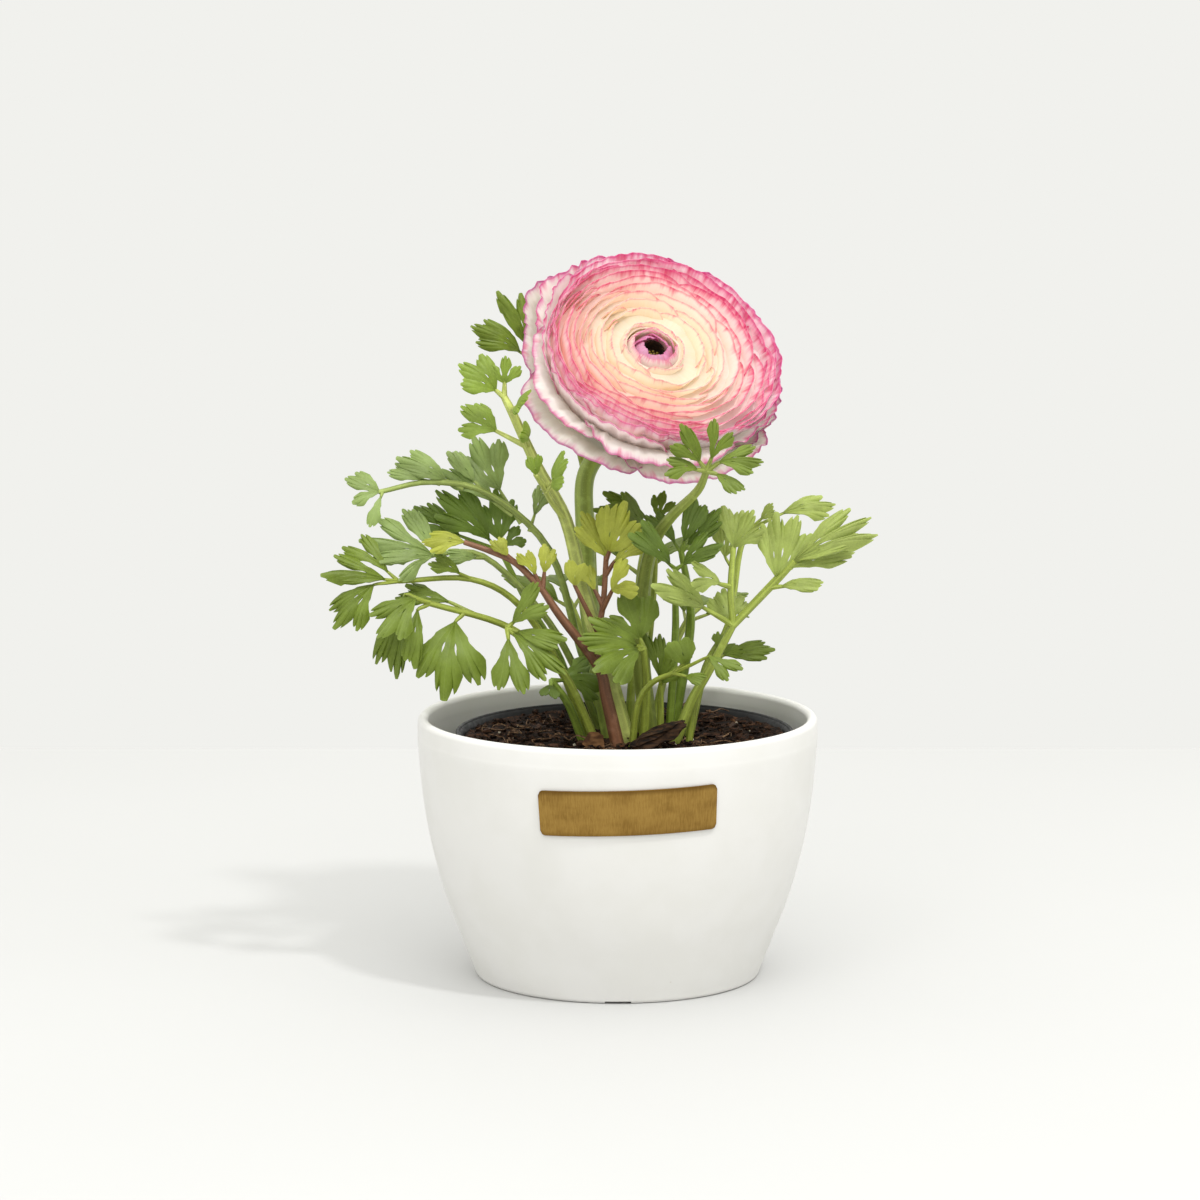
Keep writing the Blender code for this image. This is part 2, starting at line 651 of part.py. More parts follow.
def grow_pot():
    """The thin black pot: straight tapering wall, a rolled rim and drain holes in its floor."""
    low, top, wall = GROW_BOTTOM, GROW_TOP, GROW_THICK
    rim_low = top - 5
    profile = (
        (0, low), (GROW_FOOT - 1, low), (GROW_FOOT, low + 1), (grow_radius(rim_low), rim_low),
        (grow_radius(rim_low) + 1, rim_low + 0.6), (GROW_RIM + 0.9, top - 0.4), (GROW_RIM + 0.4, top),
        (GROW_RIM - wall, top), (grow_radius(rim_low) - wall, rim_low), (GROW_FOOT - wall, low + 1.6),
        (GROW_FOOT - 2, low + wall), (0, low + wall),
    )
    pot = add("grow_pot", turned(profile, GROW_SIDES, (GROW_X, 0)), "black_plastic")
    holes = []
    for i in range(DRAIN_HOLES):
        turn = 2 * pi * (i + 0.2) / DRAIN_HOLES
        cutter = bmesh.new()
        bmesh.ops.create_cone(
            cutter, cap_ends=True, segments=8, radius1=DRAIN_RADIUS, radius2=DRAIN_RADIUS, depth=6
        )
        place = (GROW_X + 33 * cos(turn), 33 * sin(turn), low)
        bmesh.ops.translate(cutter, vec=place, verts=cutter.verts)
        holes.append(add(f"drain_{i}", cutter, "black_plastic", helper=True))
    return join(pot, holes, "DIFFERENCE")


def potting_soil():
    """The root ball and the mix on it, level at the crown and lower towards the nursery pot's wall."""
    clear = GROW_THICK + GAP
    base = GROW_BOTTOM + GROW_THICK + GAP
    profile = (
        (0, base), (GROW_FOOT - clear - 2, base), (grow_radius(base + 2) - clear - 0.2, base + 2),
        (grow_radius(SOIL_EDGE) - clear, SOIL_EDGE), (CROWN_RADIUS + 12, SOIL_EDGE + 0.9),
        (CROWN_RADIUS, SOIL_TOP), (0, SOIL_TOP),
    )
    return add("potting_soil", turned(profile, GROW_SIDES, (GROW_X, 0)), "soil")


def scrap(name, centre, size, turn, lean, material):
    """A loose piece lying on the mix: a rough block with its ends drawn in."""
    bm = bmesh.new()
    bmesh.ops.create_cube(bm, size=1)
    bmesh.ops.subdivide_edges(bm, edges=bm.edges, cuts=1, use_grid_fill=True)
    for vert in bm.verts:
        if abs(vert.co.x) > 0.4:
            vert.co.y *= 0.55
            vert.co.z *= 0.6
    bmesh.ops.scale(bm, vec=size, verts=bm.verts)
    bmesh.ops.rotate(bm, matrix=Matrix.Rotation(lean, 3, "Y"), verts=bm.verts)
    bmesh.ops.rotate(bm, matrix=Matrix.Rotation(turn, 3, "Z"), verts=bm.verts)
    bmesh.ops.translate(bm, vec=centre, verts=bm.verts)
    lowest = min(v.co.z for v in bm.verts)
    bmesh.ops.translate(bm, vec=(0, 0, SOIL_TOP + GAP - lowest), verts=bm.verts)
    return add(name, bm, material)


def bloom_frame():
    """Two directions across the bloom's axis: the one nearest the front, and the one to its right."""
    near = (FRONT - FRONT.dot(AXIS) * AXIS).normalized()
    return near, AXIS.cross(near)


def on_bloom(radius, turn, height):
    near, right = bloom_frame()
    return CALYX + AXIS * height + radius * (cos(turn) * near + sin(turn) * right)


def profile_point(out, t, lift=0.0):
    """(radius, height) on the petal profile this share of the way out. t runs from base to tip."""
    for low, high in zip(PROFILES, PROFILES[1:]):
        if out <= high[0]:
            break
    share = (out - low[0]) / (high[0] - low[0])
    handles = [[a[k] + (b[k] - a[k]) * share for k in (0, 1)] for a, b in zip(low[1:], high[1:])]
    base_height = 14 - 10.6 * out
    base = (CONE_FOOT - CONE_TAPER * base_height + 0.65 + lift, base_height)
    weights = ((1 - t) ** 3, 3 * t * (1 - t) ** 2, 3 * t * t * (1 - t), t**3)
    return [sum(w * p[k] for w, p in zip(weights, (base, *handles))) for k in (0, 1)]


def whorl(name, out, first_turn, sides=16, rows=4):
    """A ring of inner petals as one cup with a scalloped edge."""
    bm = bmesh.new()
    rings = []
    for row in range(rows + 1):
        ring = []
        for i in range(sides):
            turn = 2 * pi * i / sides
            scallop = 0.05 * (1 - abs(cos(2.5 * turn + first_turn))) if row == rows else 0
            radius, height = profile_point(out, row / rows - scallop)
            ring.append(bm.verts.new(on_bloom(radius, turn, height)))
        rings.append(ring)
    skin(bm, rings, closed=True)
    return add(name, thicken(bm, PETAL_THICK), "petal")


def petal(name, out, middle, columns=5, rows=4):
    """One outer petal. It lies a little inside its left neighbour and outside its right one."""
    half_turn = 1.25 * pi / PETALS_PER_RING
    tuck = 0.75
    bm = bmesh.new()
    grid = []
    for row in range(rows + 1):
        line = []
        for column in range(columns + 1):
            across = 2 * column / columns - 1
            t = row / rows if row < rows else 1 - 0.1 * across**2
            radius, height = profile_point(out, t, lift=tuck + 0.1)
            ahead = profile_point(out, t + 0.01, lift=tuck + 0.1)
            slope = Vector((ahead[1] - height, radius - ahead[0])).normalized()
            turn = middle + across * half_turn * (0.55 + 0.45 * min(1, 2 * t))
            place = on_bloom(radius + tuck * across * slope.x, turn, height + tuck * across * slope.y)
            line.append(bm.verts.new(place))
        grid.append(line)
    skin(bm, grid, closed=False)
    return add(name, thicken(bm, PETAL_THICK), "petal")


def flower_eye():
    """The receptacle that the petals sit on, with the boss of carpels at its top."""
    boss = 15
    profile = (
        (0, 0), (CONE_FOOT, 0), (CONE_FOOT - CONE_TAPER * boss, boss), (3, 24), (EYE_RADIUS, 32),
        (EYE_RADIUS - 0.6, EYE_HEIGHT - 1.4), (1.8, EYE_HEIGHT - 0.2), (0, EYE_HEIGHT),
    )
    sides = 14
    bm = bmesh.new()
    rings = []
    for radius, height in profile:
        turns = [0] if radius == 0 else [2 * pi * i / sides for i in range(sides)]
        rings.append([bm.verts.new(on_bloom(radius, a, height)) for a in turns])
    skin(bm, rings, closed=True)
    bmesh.ops.recalc_face_normals(bm, faces=bm.faces)
    return add("flower_eye", bm, "eye")


def calyx():
    """The small disc under the petals with its five turned-back sepals."""
    sides = 12
    bm = bmesh.new()
    rings = []
    for radius, height in ((0, -GAP), (6, -GAP), (6.4, -1.2), (5, -2.5), (0, -2.5)):
        turns = [0] if radius == 0 else [2 * pi * i / sides for i in range(sides)]
        rings.append([bm.verts.new(on_bloom(radius, a, height)) for a in turns])
    skin(bm, rings, closed=True)
    bmesh.ops.recalc_face_normals(bm, faces=bm.faces)
    disc = add("calyx", bm, "leaf_green")
    sepals = []
    for i in range(5):
        turn = 2 * pi * (i + 0.3) / 5
        base, tip = on_bloom(4.5, turn, -1.6), on_bloom(15, turn, -6.5)
        sepal = blade(base, [tip], 7, facing=AXIS, thickness=0.7)
        sepals.append(add(f"sepal_{i}", sepal, "leaf_green", helper=True))
    return join(disc, sepals)


def bloom():
    flower_eye()
    calyx()
    for number, out in enumerate(WHORLS, 1):
        whorl(f"petal_whorl_{number}", out, 1.1 * number)
    for ring, (name, out) in enumerate(PETAL_RINGS):
        for i in range(PETALS_PER_RING):
            petal(f"{name}_{i + 1}", out, 2 * pi * i / PETALS_PER_RING + 0.42 * ring)


def clear_scene():
    for obj in list(bpy.data.objects):
        bpy.data.objects.remove(obj)


def main():
    clear_scene()
    cachepot()
    name_plate()
    grow_pot()
    potting_soil()
    scrap("bark_chip", (14, -18, 0), (19, 5, 4.5), radians(6), radians(-24), "bark")
    scrap("dry_leaf_scrap", (-8, -19, 0), (8, 1.6, 6), radians(-8), radians(12), "bark")
    add("flower_stem", tube(FLOWER_STEM, 3.6, 3, sides=8, level_start=True), "stem_green")
    bloom()
    for spec in LEAVES:
        leaf(spec)
    for obj in bpy.data.objects:
        obj.data.transform(Matrix.Scale(MM, 4))
        obj.data.shade_smooth()
        obj.data.set_sharp_from_angle(angle=radians(38))


main()
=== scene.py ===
"""The looks of a potted double ranunculus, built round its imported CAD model.

It is laid out as an add-on and run as a script. Lengths are millimetres, turned into metres as each
mesh is made. +Z is up, the name plate faces -Y, and the origin is under the cachepot's middle.
"""

from collections import namedtuple
from math import atan2, cos, pi, radians, sin
from random import Random

import bpy
from bpy.props import FloatProperty, FloatVectorProperty, IntProperty, PointerProperty
from mathutils import Matrix, Vector, noise


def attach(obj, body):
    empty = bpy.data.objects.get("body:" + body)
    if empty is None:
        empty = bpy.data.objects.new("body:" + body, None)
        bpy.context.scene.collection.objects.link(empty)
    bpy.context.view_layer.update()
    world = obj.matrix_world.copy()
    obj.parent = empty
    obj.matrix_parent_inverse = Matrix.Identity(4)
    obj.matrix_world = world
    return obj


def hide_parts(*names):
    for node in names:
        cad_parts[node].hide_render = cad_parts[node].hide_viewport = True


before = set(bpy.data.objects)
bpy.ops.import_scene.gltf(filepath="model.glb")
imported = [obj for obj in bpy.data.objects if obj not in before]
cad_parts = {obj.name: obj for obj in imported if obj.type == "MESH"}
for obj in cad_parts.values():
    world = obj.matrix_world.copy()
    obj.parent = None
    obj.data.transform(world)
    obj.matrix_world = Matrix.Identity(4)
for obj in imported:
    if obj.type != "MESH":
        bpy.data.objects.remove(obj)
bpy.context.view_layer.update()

bl_info = {
    "name": "Potted ranunculus",
    "version": (1, 0, 0),
    "blender": (4, 5, 0),
    "location": "3D View > Sidebar > Ranunculus",
    "description": "Builds a double ranunculus in a nursery pot and a white cachepot, and its studio",
    "category": "Add Mesh",
}

MM = 0.001
GAP = 0.3  # what touching CAD pieces keep between them
LAP = 0.8  # how far stalks and blades run into each other

# Cachepot: the outer wall from the foot to the lip, then the wall's thickness.
POT_WALL = ((49.5, 0), (51, 3.5), (55.2, 14.5), (60.6, 29), (65.2, 46), (68.2, 63), (70, 82))
POT_HEIGHT = 92
POT_THICK = 3.6
POT_FLOOR = 5
LIP_LOW = 86.5  # where the wall stops being straight, under the lip
LIP_ROUND = 1.9  # height of the lip's rounding
NOTCH = (9, 7, 0.8)  # width, depth and height of the notch under the front of the foot

# Name plate, wrapped round the front of the cachepot.
PLATE_LENGTH = 61.5
PLATE_HEIGHT = 15.7
PLATE_THICK = 0.7
PLATE_CORNER = 1.8
PLATE_CENTRE = (3.6, 70.5)  # along the wall from the front, and up
PLATE_TILT = radians(1.6)

# Nursery pot and the potting mix in it, a little off the cachepot's centre.
GROW_X = 2.5
GROW_BOTTOM, GROW_TOP = 5.3, 86.5
GROW_FOOT, GROW_RIM = 44, 58.2
GROW_THICK = 0.9
DRAIN_HOLES = 6
DRAIN_RADIUS = 4
DRAIN_RING = 33  # radius of the circle that the drain holes lie on
RIM_BAND = 5  # height of the band under the rolled rim
SOIL_TOP = 83  # the level crown, where the stems come out
SOIL_EDGE = 80.5
CROWN_RADIUS = 36
SOIL_RISE = 2  # how far the mix rises from the crown to the wall
SOIL_LUMPS = ((1.3, 9, 3), (0.9, 4, 5), (0.5, 1.7, 8))  # height, size and seed of its lumps
LITTER_REACH = 52  # how far from its middle loose bits lie
CRUMB_SIZES = (0.9, 1.2, 1.7, 2.6)
BARK_CHIP = ((14, -18), (19, 5, 4.5), radians(6), radians(-24))  # centre, size, turn and lean
DRY_SCRAP = ((-8, -19), (8, 1.6, 6), radians(-8), radians(12))

# Bloom: its axis leans to the front and a little to the right. Heights run along it from the calyx.
CALYX = Vector((1.8, 21.5, 190.5))
AXIS = Vector((0.246, -0.655, 0.714)).normalized()
FRONT = Vector((0, -1, 0.15))
CONE_FOOT, CONE_TAPER = 6.9, 0.33  # the receptacle's radius at its foot, and what it loses per mm
EYE_RADIUS = 4.2
EYE_FOOT = 20  # below this height on the axis the receptacle is pale
HEART_TOP = 43.4  # how high the cup round the carpels stands on the axis
CARPELS = 24
# How far out each ring of petals stands: 0 at the heart, 1.3 outmost.
WHORLS = (0.0, 0.17, 0.34, 0.5, 0.66, 0.82)
PETAL_RINGS = (("petal_upper", 0.97), ("petal_middle", 1.14), ("petal_guard", 1.3))
PETALS_PER_RING = 5
BASE_HIGH, BASE_FALL = 14, 10.6  # height of the inmost petals' base, and its fall per 1 further out
PETAL_THIN = 0.25
LAYER_STEP = 0.085  # from a cup's inner layer of petals to its outer one
PACKED_FROM, PACKED_TO = 0.12, 0.97  # the layers that the close-packed petals fill
PACKED_LEVEL = 0.88  # how far up the neighbouring petals they reach

# The bloom's stem leans back from the crown and bends up to the calyx.
FLOWER_STEM = (
    (-2, 4, SOIL_TOP + GAP), (-7, 7, 110), (-10.5, 10, 133), (-11.5, 16, 156), (-11.5, 22, 172),
    (-6.5, 26, 181), tuple(CALYX - 7 * AXIS), tuple(CALYX - 3.3 * AXIS),
)

# The leaves, each with its family of colours, the radius of its petiole and of its branches, the width
# of a blade as a share of its reach, and the way its blades face. A route is a line of way-points
# (x, y, z) with the blades along it. A leaf's first route is its petiole, up from the soil, and the
# others branch from it. A blade leaves its route at a share of the route's length, on a stalk. Seen from
# the front, aim is 0 to the right and 90 straight up, and toward is how far it points at the viewer. The
# reach is that of its middle lobe, and spread is the angle between its outer lobes. turn is the stalk's
# aim less the blade's.
Leaf = namedtuple("Leaf", "name family thick thin broad facing routes")
Route = namedtuple("Route", "points blades")
Blade = namedtuple("Blade", "at aim toward stalk reach lobes spread turn", defaults=(0,))
SOIL_LINE = SOIL_TOP + GAP
UPRIGHT = (0, -0.85, 0.5)
LEVEL = (0, -0.3, 0.95)
LEAVES = (
    # Left side, from the top down.
    Leaf("leaf_behind_bloom", "green", 1.6, 1.0, 0.25, UPRIGHT, (
        Route(
            ((-1, 17, SOIL_LINE), (-8, 26, 130), (-10, 38, 163), (-18, 46, 194), (-30, 40, 213)),
            (Blade(1, 148, 20, 6, 20, 3, 32), Blade(1, 112, 10, 6, 21, 3, 28)),
        ),
    )),
    Leaf("leafy_stem", "stem", 3.2, 1.4, 0.32, UPRIGHT, (
        Route(
            (
                (3, -7, SOIL_LINE), (-5, -8, 114), (-12, -8, 137), (-18, -9, 162),
                (-28, -16, 182), (-36, -20, 200), (-39, -20, 206),
            ),
            (
                Blade(1, 140, 12, 4, 15, 3, 60), Blade(1, 88, 8, 5, 9, 3, 80),
                Blade(0.85, 155, -20, 13, 15, 3, 60), Blade(0.96, 40, 62, 6, 10, 3, 60),
                Blade(0.85, 100, 58, 6, 11, 2, 35),
            ),
        ),
        Route(
            ((-18, -9, 162), (-23, -17, 170), (-26, -27, 177), (-28, -33, 181)),
            (Blade(1, 106, 34, 0, 9, 2, 35), Blade(0.6, 54, 54, 8, 14, 3, 60)),
        ),
    )),
    Leaf("leaf_arching", "sage", 1.5, 1.0, 0.3, UPRIGHT, (
        Route(
            (
                (-3, 13, SOIL_LINE), (-13, 12, 113), (-24, 9, 149),
                (-45, 6, 169), (-65, 1, 174), (-83, -3, 171),
            ),
            (
                Blade(1, 165, 8, 0, 12, 3, 65), Blade(0.99, -108, 25, 2, 12, 1, 0),
                Blade(0.84, 165, 5, 6, 13, 2, 30), Blade(0.78, 152, 5, 7, 18, 3, 36),
                Blade(0.72, 132, 0, 6, 14, 2, 30), Blade(0.63, 143, 0, 8, 22, 2, 28),
                Blade(0.6, 122, -5, 14, 20, 3, 50), Blade(0.57, 72, -15, 6, 11, 2, 30),
            ),
        ),
    )),
    Leaf("leaf_left_dark", "dark", 1.5, 1.1, 0.4, UPRIGHT, (
        Route(
            ((-12, 13, SOIL_LINE), (-20, 14, 109), (-32, 14, 130), (-41, 13, 148)),
            (
                Blade(1, 134, 10, 6, 25, 3, 32), Blade(1, 97, -10, 4, 17, 3, 55),
                Blade(1, 150, 8, 16, 18, 3, 34, 8), Blade(1, 45, -8, 3, 8, 2, 55),
            ),
        ),
    )),
    Leaf("leaf_left_middle", "sage", 1.4, 1.0, 0.33, UPRIGHT, (
        Route(
            ((-6, 13, SOIL_LINE), (-15, 9, 107), (-27, 5, 128), (-47, 1, 148), (-65, -2, 149)),
            (
                Blade(1, 164, 12, 0, 25, 3, 28), Blade(0.98, 127, -15, 2, 18, 2, 26),
                Blade(0.92, -172, 28, 8, 19, 3, 30), Blade(0.8, 177, 35, 4, 13, 2, 25),
            ),
        ),
    )),
    Leaf("leaf_left_long", "green", 1.5, 1.0, 0.31, UPRIGHT, (
        Route(
            ((-10, 7, SOIL_LINE), (-20, 3, 108), (-34, -3, 131), (-51, -7, 141), (-76, -12, 141)),
            (
                Blade(1, 170, 15, 5, 22, 3, 26), Blade(1, 139, -4, 5, 18, 2, 24),
                Blade(1, -134, 18, 9, 20, 3, 36, -40), Blade(0.74, 150, 25, 6, 13, 2, 28),
            ),
        ),
    )),
    Leaf("leaf_drooping", "green", 1.6, 1.2, 0.5, UPRIGHT, (
        Route(
            ((-12, 1, SOIL_LINE), (-18, -3, 105), (-28, -7, 117), (-41, -10, 126), (-65, -17, 134)),
            (
                Blade(0.84, -101, 25, 5, 27, 3, 50, -35), Blade(1, -93, 22, 5, 21, 2, 22, -60),
                Blade(1, -142, 32, 6, 20, 3, 36, -60), Blade(1, -100, 0, 9, 30, 2, 20, -100),
                Blade(0.77, 175, -8, 12, 19, 2, 24, -20),
            ),
        ),
    )),
    Leaf("leaf_left_front", "green", 1.5, 1.3, 0.45, UPRIGHT, (
        Route(
            ((-7, -12, SOIL_LINE), (-20, -20, 112), (-38, -28, 127)),
            (
                Blade(1, 46, 16, 3, 17, 2, 30), Blade(1, -14, 20, 4, 18, 2, 26),
                Blade(1, -40, 24, 3, 24, 2, 20), Blade(1, -84, 27, 4, 21, 2, 28),
            ),
        ),
    )),
    Leaf("leaf_low", "dark", 1.6, 1.4, 0.75, UPRIGHT, (
        Route(
            ((-12, -7, SOIL_LINE), (-17, -10, 97), (-23, -12, 106)),
            (Blade(1, -3, -30, 4, 17, 3, 57), Blade(1, -100, 60, 3, 7, 2, 50)),
        ),
    )),
    # The brown stalk in front, with a pale leaf to its left and a yellow-green one above.
    Leaf("leaf_red_stalk", "young", 2.4, 1.3, 0.38, UPRIGHT, (
        Route(
            ((0, -14, SOIL_LINE), (-4, -15, 101), (-7, -16, 112), (-20, -19, 130), (-26, -19, 139)),
            (Blade(1, 115, 3, 6, 10, 2, 30), Blade(1, 84, -12, 6, 10, 2, 38)),
        ),
        Route(
            ((-26, -19, 139), (-35, -18, 148), (-44, -16, 152), (-53, -15, 155)),
            (Blade(1, 177, 3, 0, 14, 3, 34), Blade(0.4, 135, 3, 4, 8, 2, 40)),
        ),
        Route(
            ((-7, -16, 112), (-7, -15, 122), (-5, -14, 134), (-4, -14, 150)),
            (
                Blade(1, 122, 0, 0, 17, 3, 40), Blade(0.97, 68, 22, 4, 19, 3, 56),
                Blade(0.82, 38, 22, 7, 19, 2, 20, 20), Blade(0.5, 50, 28, 10, 13, 2, 56, 15),
                Blade(0.3, 95, 16, 20, 10, 2, 45, 20), Blade(0.55, 118, -4, 6, 10, 2, 30),
            ),
        ),
    )),
    # Middle.
    Leaf("leaf_centre", "green", 1.8, 1.4, 0.42, UPRIGHT, (
        Route(
            ((9, -9, SOIL_LINE), (10, -12, 103), (9, -16, 118)),
            (
                Blade(1, -168, 44, 3, 23, 3, 42), Blade(1, 157, 22, 3, 23, 2, 22),
                Blade(1, 110, 2, 4, 17, 3, 74),
            ),
        ),
    )),
    Leaf("leaf_centre_low", "green", 1.3, 1.0, 0.45, UPRIGHT, (
        Route(
            ((15, -7, SOIL_LINE), (15, -8, 98), (15, -9, 104)),
            (Blade(1, 98, 2, 3, 17, 2, 26), Blade(1, 60, 36, 2, 13, 2, 34)),
        ),
    )),
    Leaf("side_stem", "side", 3.3, 1.3, 0.42, UPRIGHT, (
        Route(
            (
                (11, 0, SOIL_LINE), (8, -1, 115), (9, -3, 137), (12, -10, 153),
                (18, -20, 164), (27, -33, 175), (30, -41, 183),
            ),
            (
                Blade(1, 125, 23, 5, 15, 3, 40), Blade(1, 71, 16, 5, 14, 2, 26),
                Blade(1, 168, 31, 4, 14, 2, 26), Blade(1, 6, 22, 6, 15, 3, 34, 30),
                Blade(1, -34, 29, 4, 12, 2, 28, 20),
            ),
        ),
    )),
    Leaf("leaf_under_bloom", "green", 1.5, 1.0, 0.28, UPRIGHT, (
        Route(
            ((7, 10, SOIL_LINE), (11, 12, 116), (13, 12, 139), (13, 8, 157)),
            (
                Blade(1, 160, 21, 5, 21, 2, 20, -30), Blade(0.98, 180, -8, 5, 16, 2, 26),
                Blade(0.96, 142, 35, 7, 18, 3, 46), Blade(1, 72, -15, 4, 9, 3, 62),
            ),
        ),
    )),
    # Right side.
    Leaf("leaf_right_inner", "dark", 1.5, 1.1, 0.38, UPRIGHT, (
        Route(
            ((18, -1, SOIL_LINE), (20, -6, 119), (20, -12, 134), (20, -18, 146)),
            (Blade(1, 136, 33, 4, 23, 2, 24), Blade(1, 36, 24, 4, 16, 3, 32)),
        ),
    )),
    Leaf("leaf_right_dark", "dark", 2.0, 1.2, 0.45, UPRIGHT, (
        Route(
            ((19, 6, SOIL_LINE), (25, 4, 118), (25, -3, 134), (22, -11, 151)),
            (
                Blade(1, 125, -12, 4, 14, 2, 26), Blade(1, 76, 25, 5, 19, 2, 24),
                Blade(1, 48, 16, 4, 17, 3, 32),
            ),
        ),
    )),
    Leaf("leaf_right_pale", "pale", 2.0, 1.4, 0.45, UPRIGHT, (
        Route(
            ((20, -8, SOIL_LINE), (26, -10, 99), (32, -12, 110), (40, -15, 126)),
            (Blade(1, 146, 24, 14, 22, 3, 32), Blade(0.97, 100, -40, 4, 12, 3, 80)),
        ),
        Route(
            ((40, -15, 126), (39, -17, 139), (40, -13, 153)),
            (
                Blade(0.5, 157, 42, 6, 16, 2, 30), Blade(1, 46, 8, 0, 15, 2, 34),
                Blade(1, 94, -12, 0, 15, 2, 38),
            ),
        ),
        Route(
            ((40, -15, 126), (47, -16, 134), (55, -17, 143)),
            (Blade(1, 76, -2, 0, 22, 4, 60),),
        ),
        Route(
            ((47, -16, 134), (54, -18, 141), (61, -20, 149)),
            (
                Blade(1, 30, 10, 0, 30, 4, 30), Blade(0.9, 13, -8, 0, 25, 2, 18),
                Blade(0.6, 7, 18, 4, 15, 2, 24),
            ),
        ),
    )),
    Leaf("leaf_right_back", "pale", 1.5, 1.0, 0.4, UPRIGHT, (
        Route(
            ((25, 2, SOIL_LINE), (31, 5, 108), (39, 8, 123), (43, 12, 148), (47, 13, 156)),
            (
                Blade(1, 45, 8, 5, 7, 2, 40), Blade(1, 10, -20, 13, 19, 3, 28, 13),
                Blade(0.77, 81, -5, 8, 13, 3, 48, 39),
            ),
        ),
    )),
    Leaf("leaf_right_low", "green", 1.3, 1.0, 0.5, UPRIGHT, (
        Route(
            ((5, -15, SOIL_LINE), (7, -19, 99), (12, -22, 107), (19, -26, 111)),
            (
                Blade(1, 107, 24, 6, 11, 2, 60, -60), Blade(1, -34, 28, 16, 13, 2, 28, 64),
                Blade(1, -6, 39, 6, 8, 2, 35),
            ),
        ),
    )),
    Leaf("leaf_right_small", "green", 1.3, 1.0, 0.35, UPRIGHT, (
        Route(
            ((25, -4, SOIL_LINE), (28, -2, 101), (34, -1, 111)),
            (Blade(1, 4, 3, 4, 17, 3, 30, 30), Blade(1, 60, -33, 3, 9, 2, 70)),
        ),
    )),
    # Behind, out of sight from the front.
    Leaf("leaf_back_left", "green", 1.5, 1.1, 0.38, LEVEL, (
        Route(
            ((-7, 19, SOIL_LINE), (-10, 28, 108), (-16, 38, 124), (-20, 46, 130)),
            (
                Blade(1, 180, -75, 0, 24, 3, 50), Blade(0.8, 155, -28, 7, 23, 2, 30),
                Blade(0.8, 54, -60, 8, 19, 2, 30),
            ),
        ),
    )),
    Leaf("leaf_back", "green", 1.6, 1.1, 0.38, LEVEL, (
        Route(
            ((4, 17, SOIL_LINE), (6, 26, 112), (8, 38, 136), (10, 48, 146)),
            (
                Blade(1, 90, -80, 0, 23, 3, 50), Blade(0.8, 149, -42, 9, 24, 2, 28),
                Blade(0.8, 29, -36, 8, 23, 2, 28),
            ),
        ),
    )),
    Leaf("leaf_back_right", "green", 1.5, 1.1, 0.38, LEVEL, (
        Route(
            ((12, 15, SOIL_LINE), (18, 24, 106), (25, 34, 120), (30, 42, 124)),
            (
                Blade(1, -19, -55, 0, 23, 3, 50), Blade(0.8, 16, -22, 8, 20, 2, 32),
                Blade(0.8, 111, -76, 9, 19, 2, 30),
            ),
        ),
    )),
)

# A lobe: the clefts' end as a share of its reach, then how much of the room to its neighbours counts,
# its largest half width as shares of the blade's width and of that room, and its waist's share of that.
CLEFT, SHOULDER = 0.34, 0.86
WIDEST, ROOM_SHARE, WAIST_SHARE = 0.64, 0.48, 0.55
STALK_TAPER = 0.55  # what a blade's own stalk loses of its radius
RIDGE_COUNT = 7  # ridges along every stalk

# Leaf colours: upper side, underside and stalks of each family. The dark family is the leaf green in
# shade, painted shade, and the pale family the leaf green lit from the right, painted light.
LEAF_TONES = {
    "green": ("7e9231", "a2ae70", "9dab40"),
    # Painted shade: the leaf green as it looks in shade.
    "dark": ("768e36", "8ea45c", "8ca43c"),
    "sage": ("98ad64", "b6c492", "9fb05a"),
    # Painted light: the leaf green as it looks lit from the right.
    "pale": ("b2c166", "c4d08e", "acbc50"),
    "young": ("bcc14c", "cccb7a", "85593c"),
    "stem": ("98b044", "aabc6a", "c6d070"),
    "side": ("7e9231", "9bab54", "a0ae50"),
}

# Petal profiles, upright on the bloom's near side and open on its far side: how far out the petal
# stands, then the last three of its four control points (radius, height), near and far.
PETAL_SHAPES = (
    (0.0, ((8, 22), (10.5, 43), (3.7, 44.8)), ((8, 22), (10.5, 43), (3.7, 44.8))),
    (0.1, ((10, 20.5), (13, 42), (7, 45.6)), ((10, 20.5), (12, 42), (7, 45.4))),
    (0.17, ((12, 19), (16, 38), (10, 46)), ((11, 19), (9.5, 38), (11.5, 44.5))),
    (0.34, ((15, 16), (22, 36.5), (16, 46)), ((14, 16), (12.5, 36), (18.5, 44.5))),
    (0.5, ((17, 13.5), (28, 35), (22.5, 46)), ((18, 12), (18.5, 35), (26, 44.5))),
    (0.66, ((19.5, 11), (34, 34), (28.5, 46)), ((22, 8), (25, 34), (33, 44.5))),
    (0.82, ((21, 8.5), (39, 32), (34, 45.5)), ((26, 5), (32, 31), (39.5, 44.5))),
    (0.97, ((21, 6.5), (38.5, 32), (37, 44)), ((30, 1), (39, 28), (45.5, 43))),
    (1.06, ((21, 5), (37, 33), (39.5, 42)), ((30.5, 0.5), (41, 25), (46.5, 41.5))),
    (1.14, ((24, 6), (33, 40), (45.5, 35)), ((31, 0), (43, 22), (47.5, 39))),
    (1.3, ((24, 2), (34, 33), (48.5, 29.5)), ((33, -2), (46, 14), (49, 32))),
)

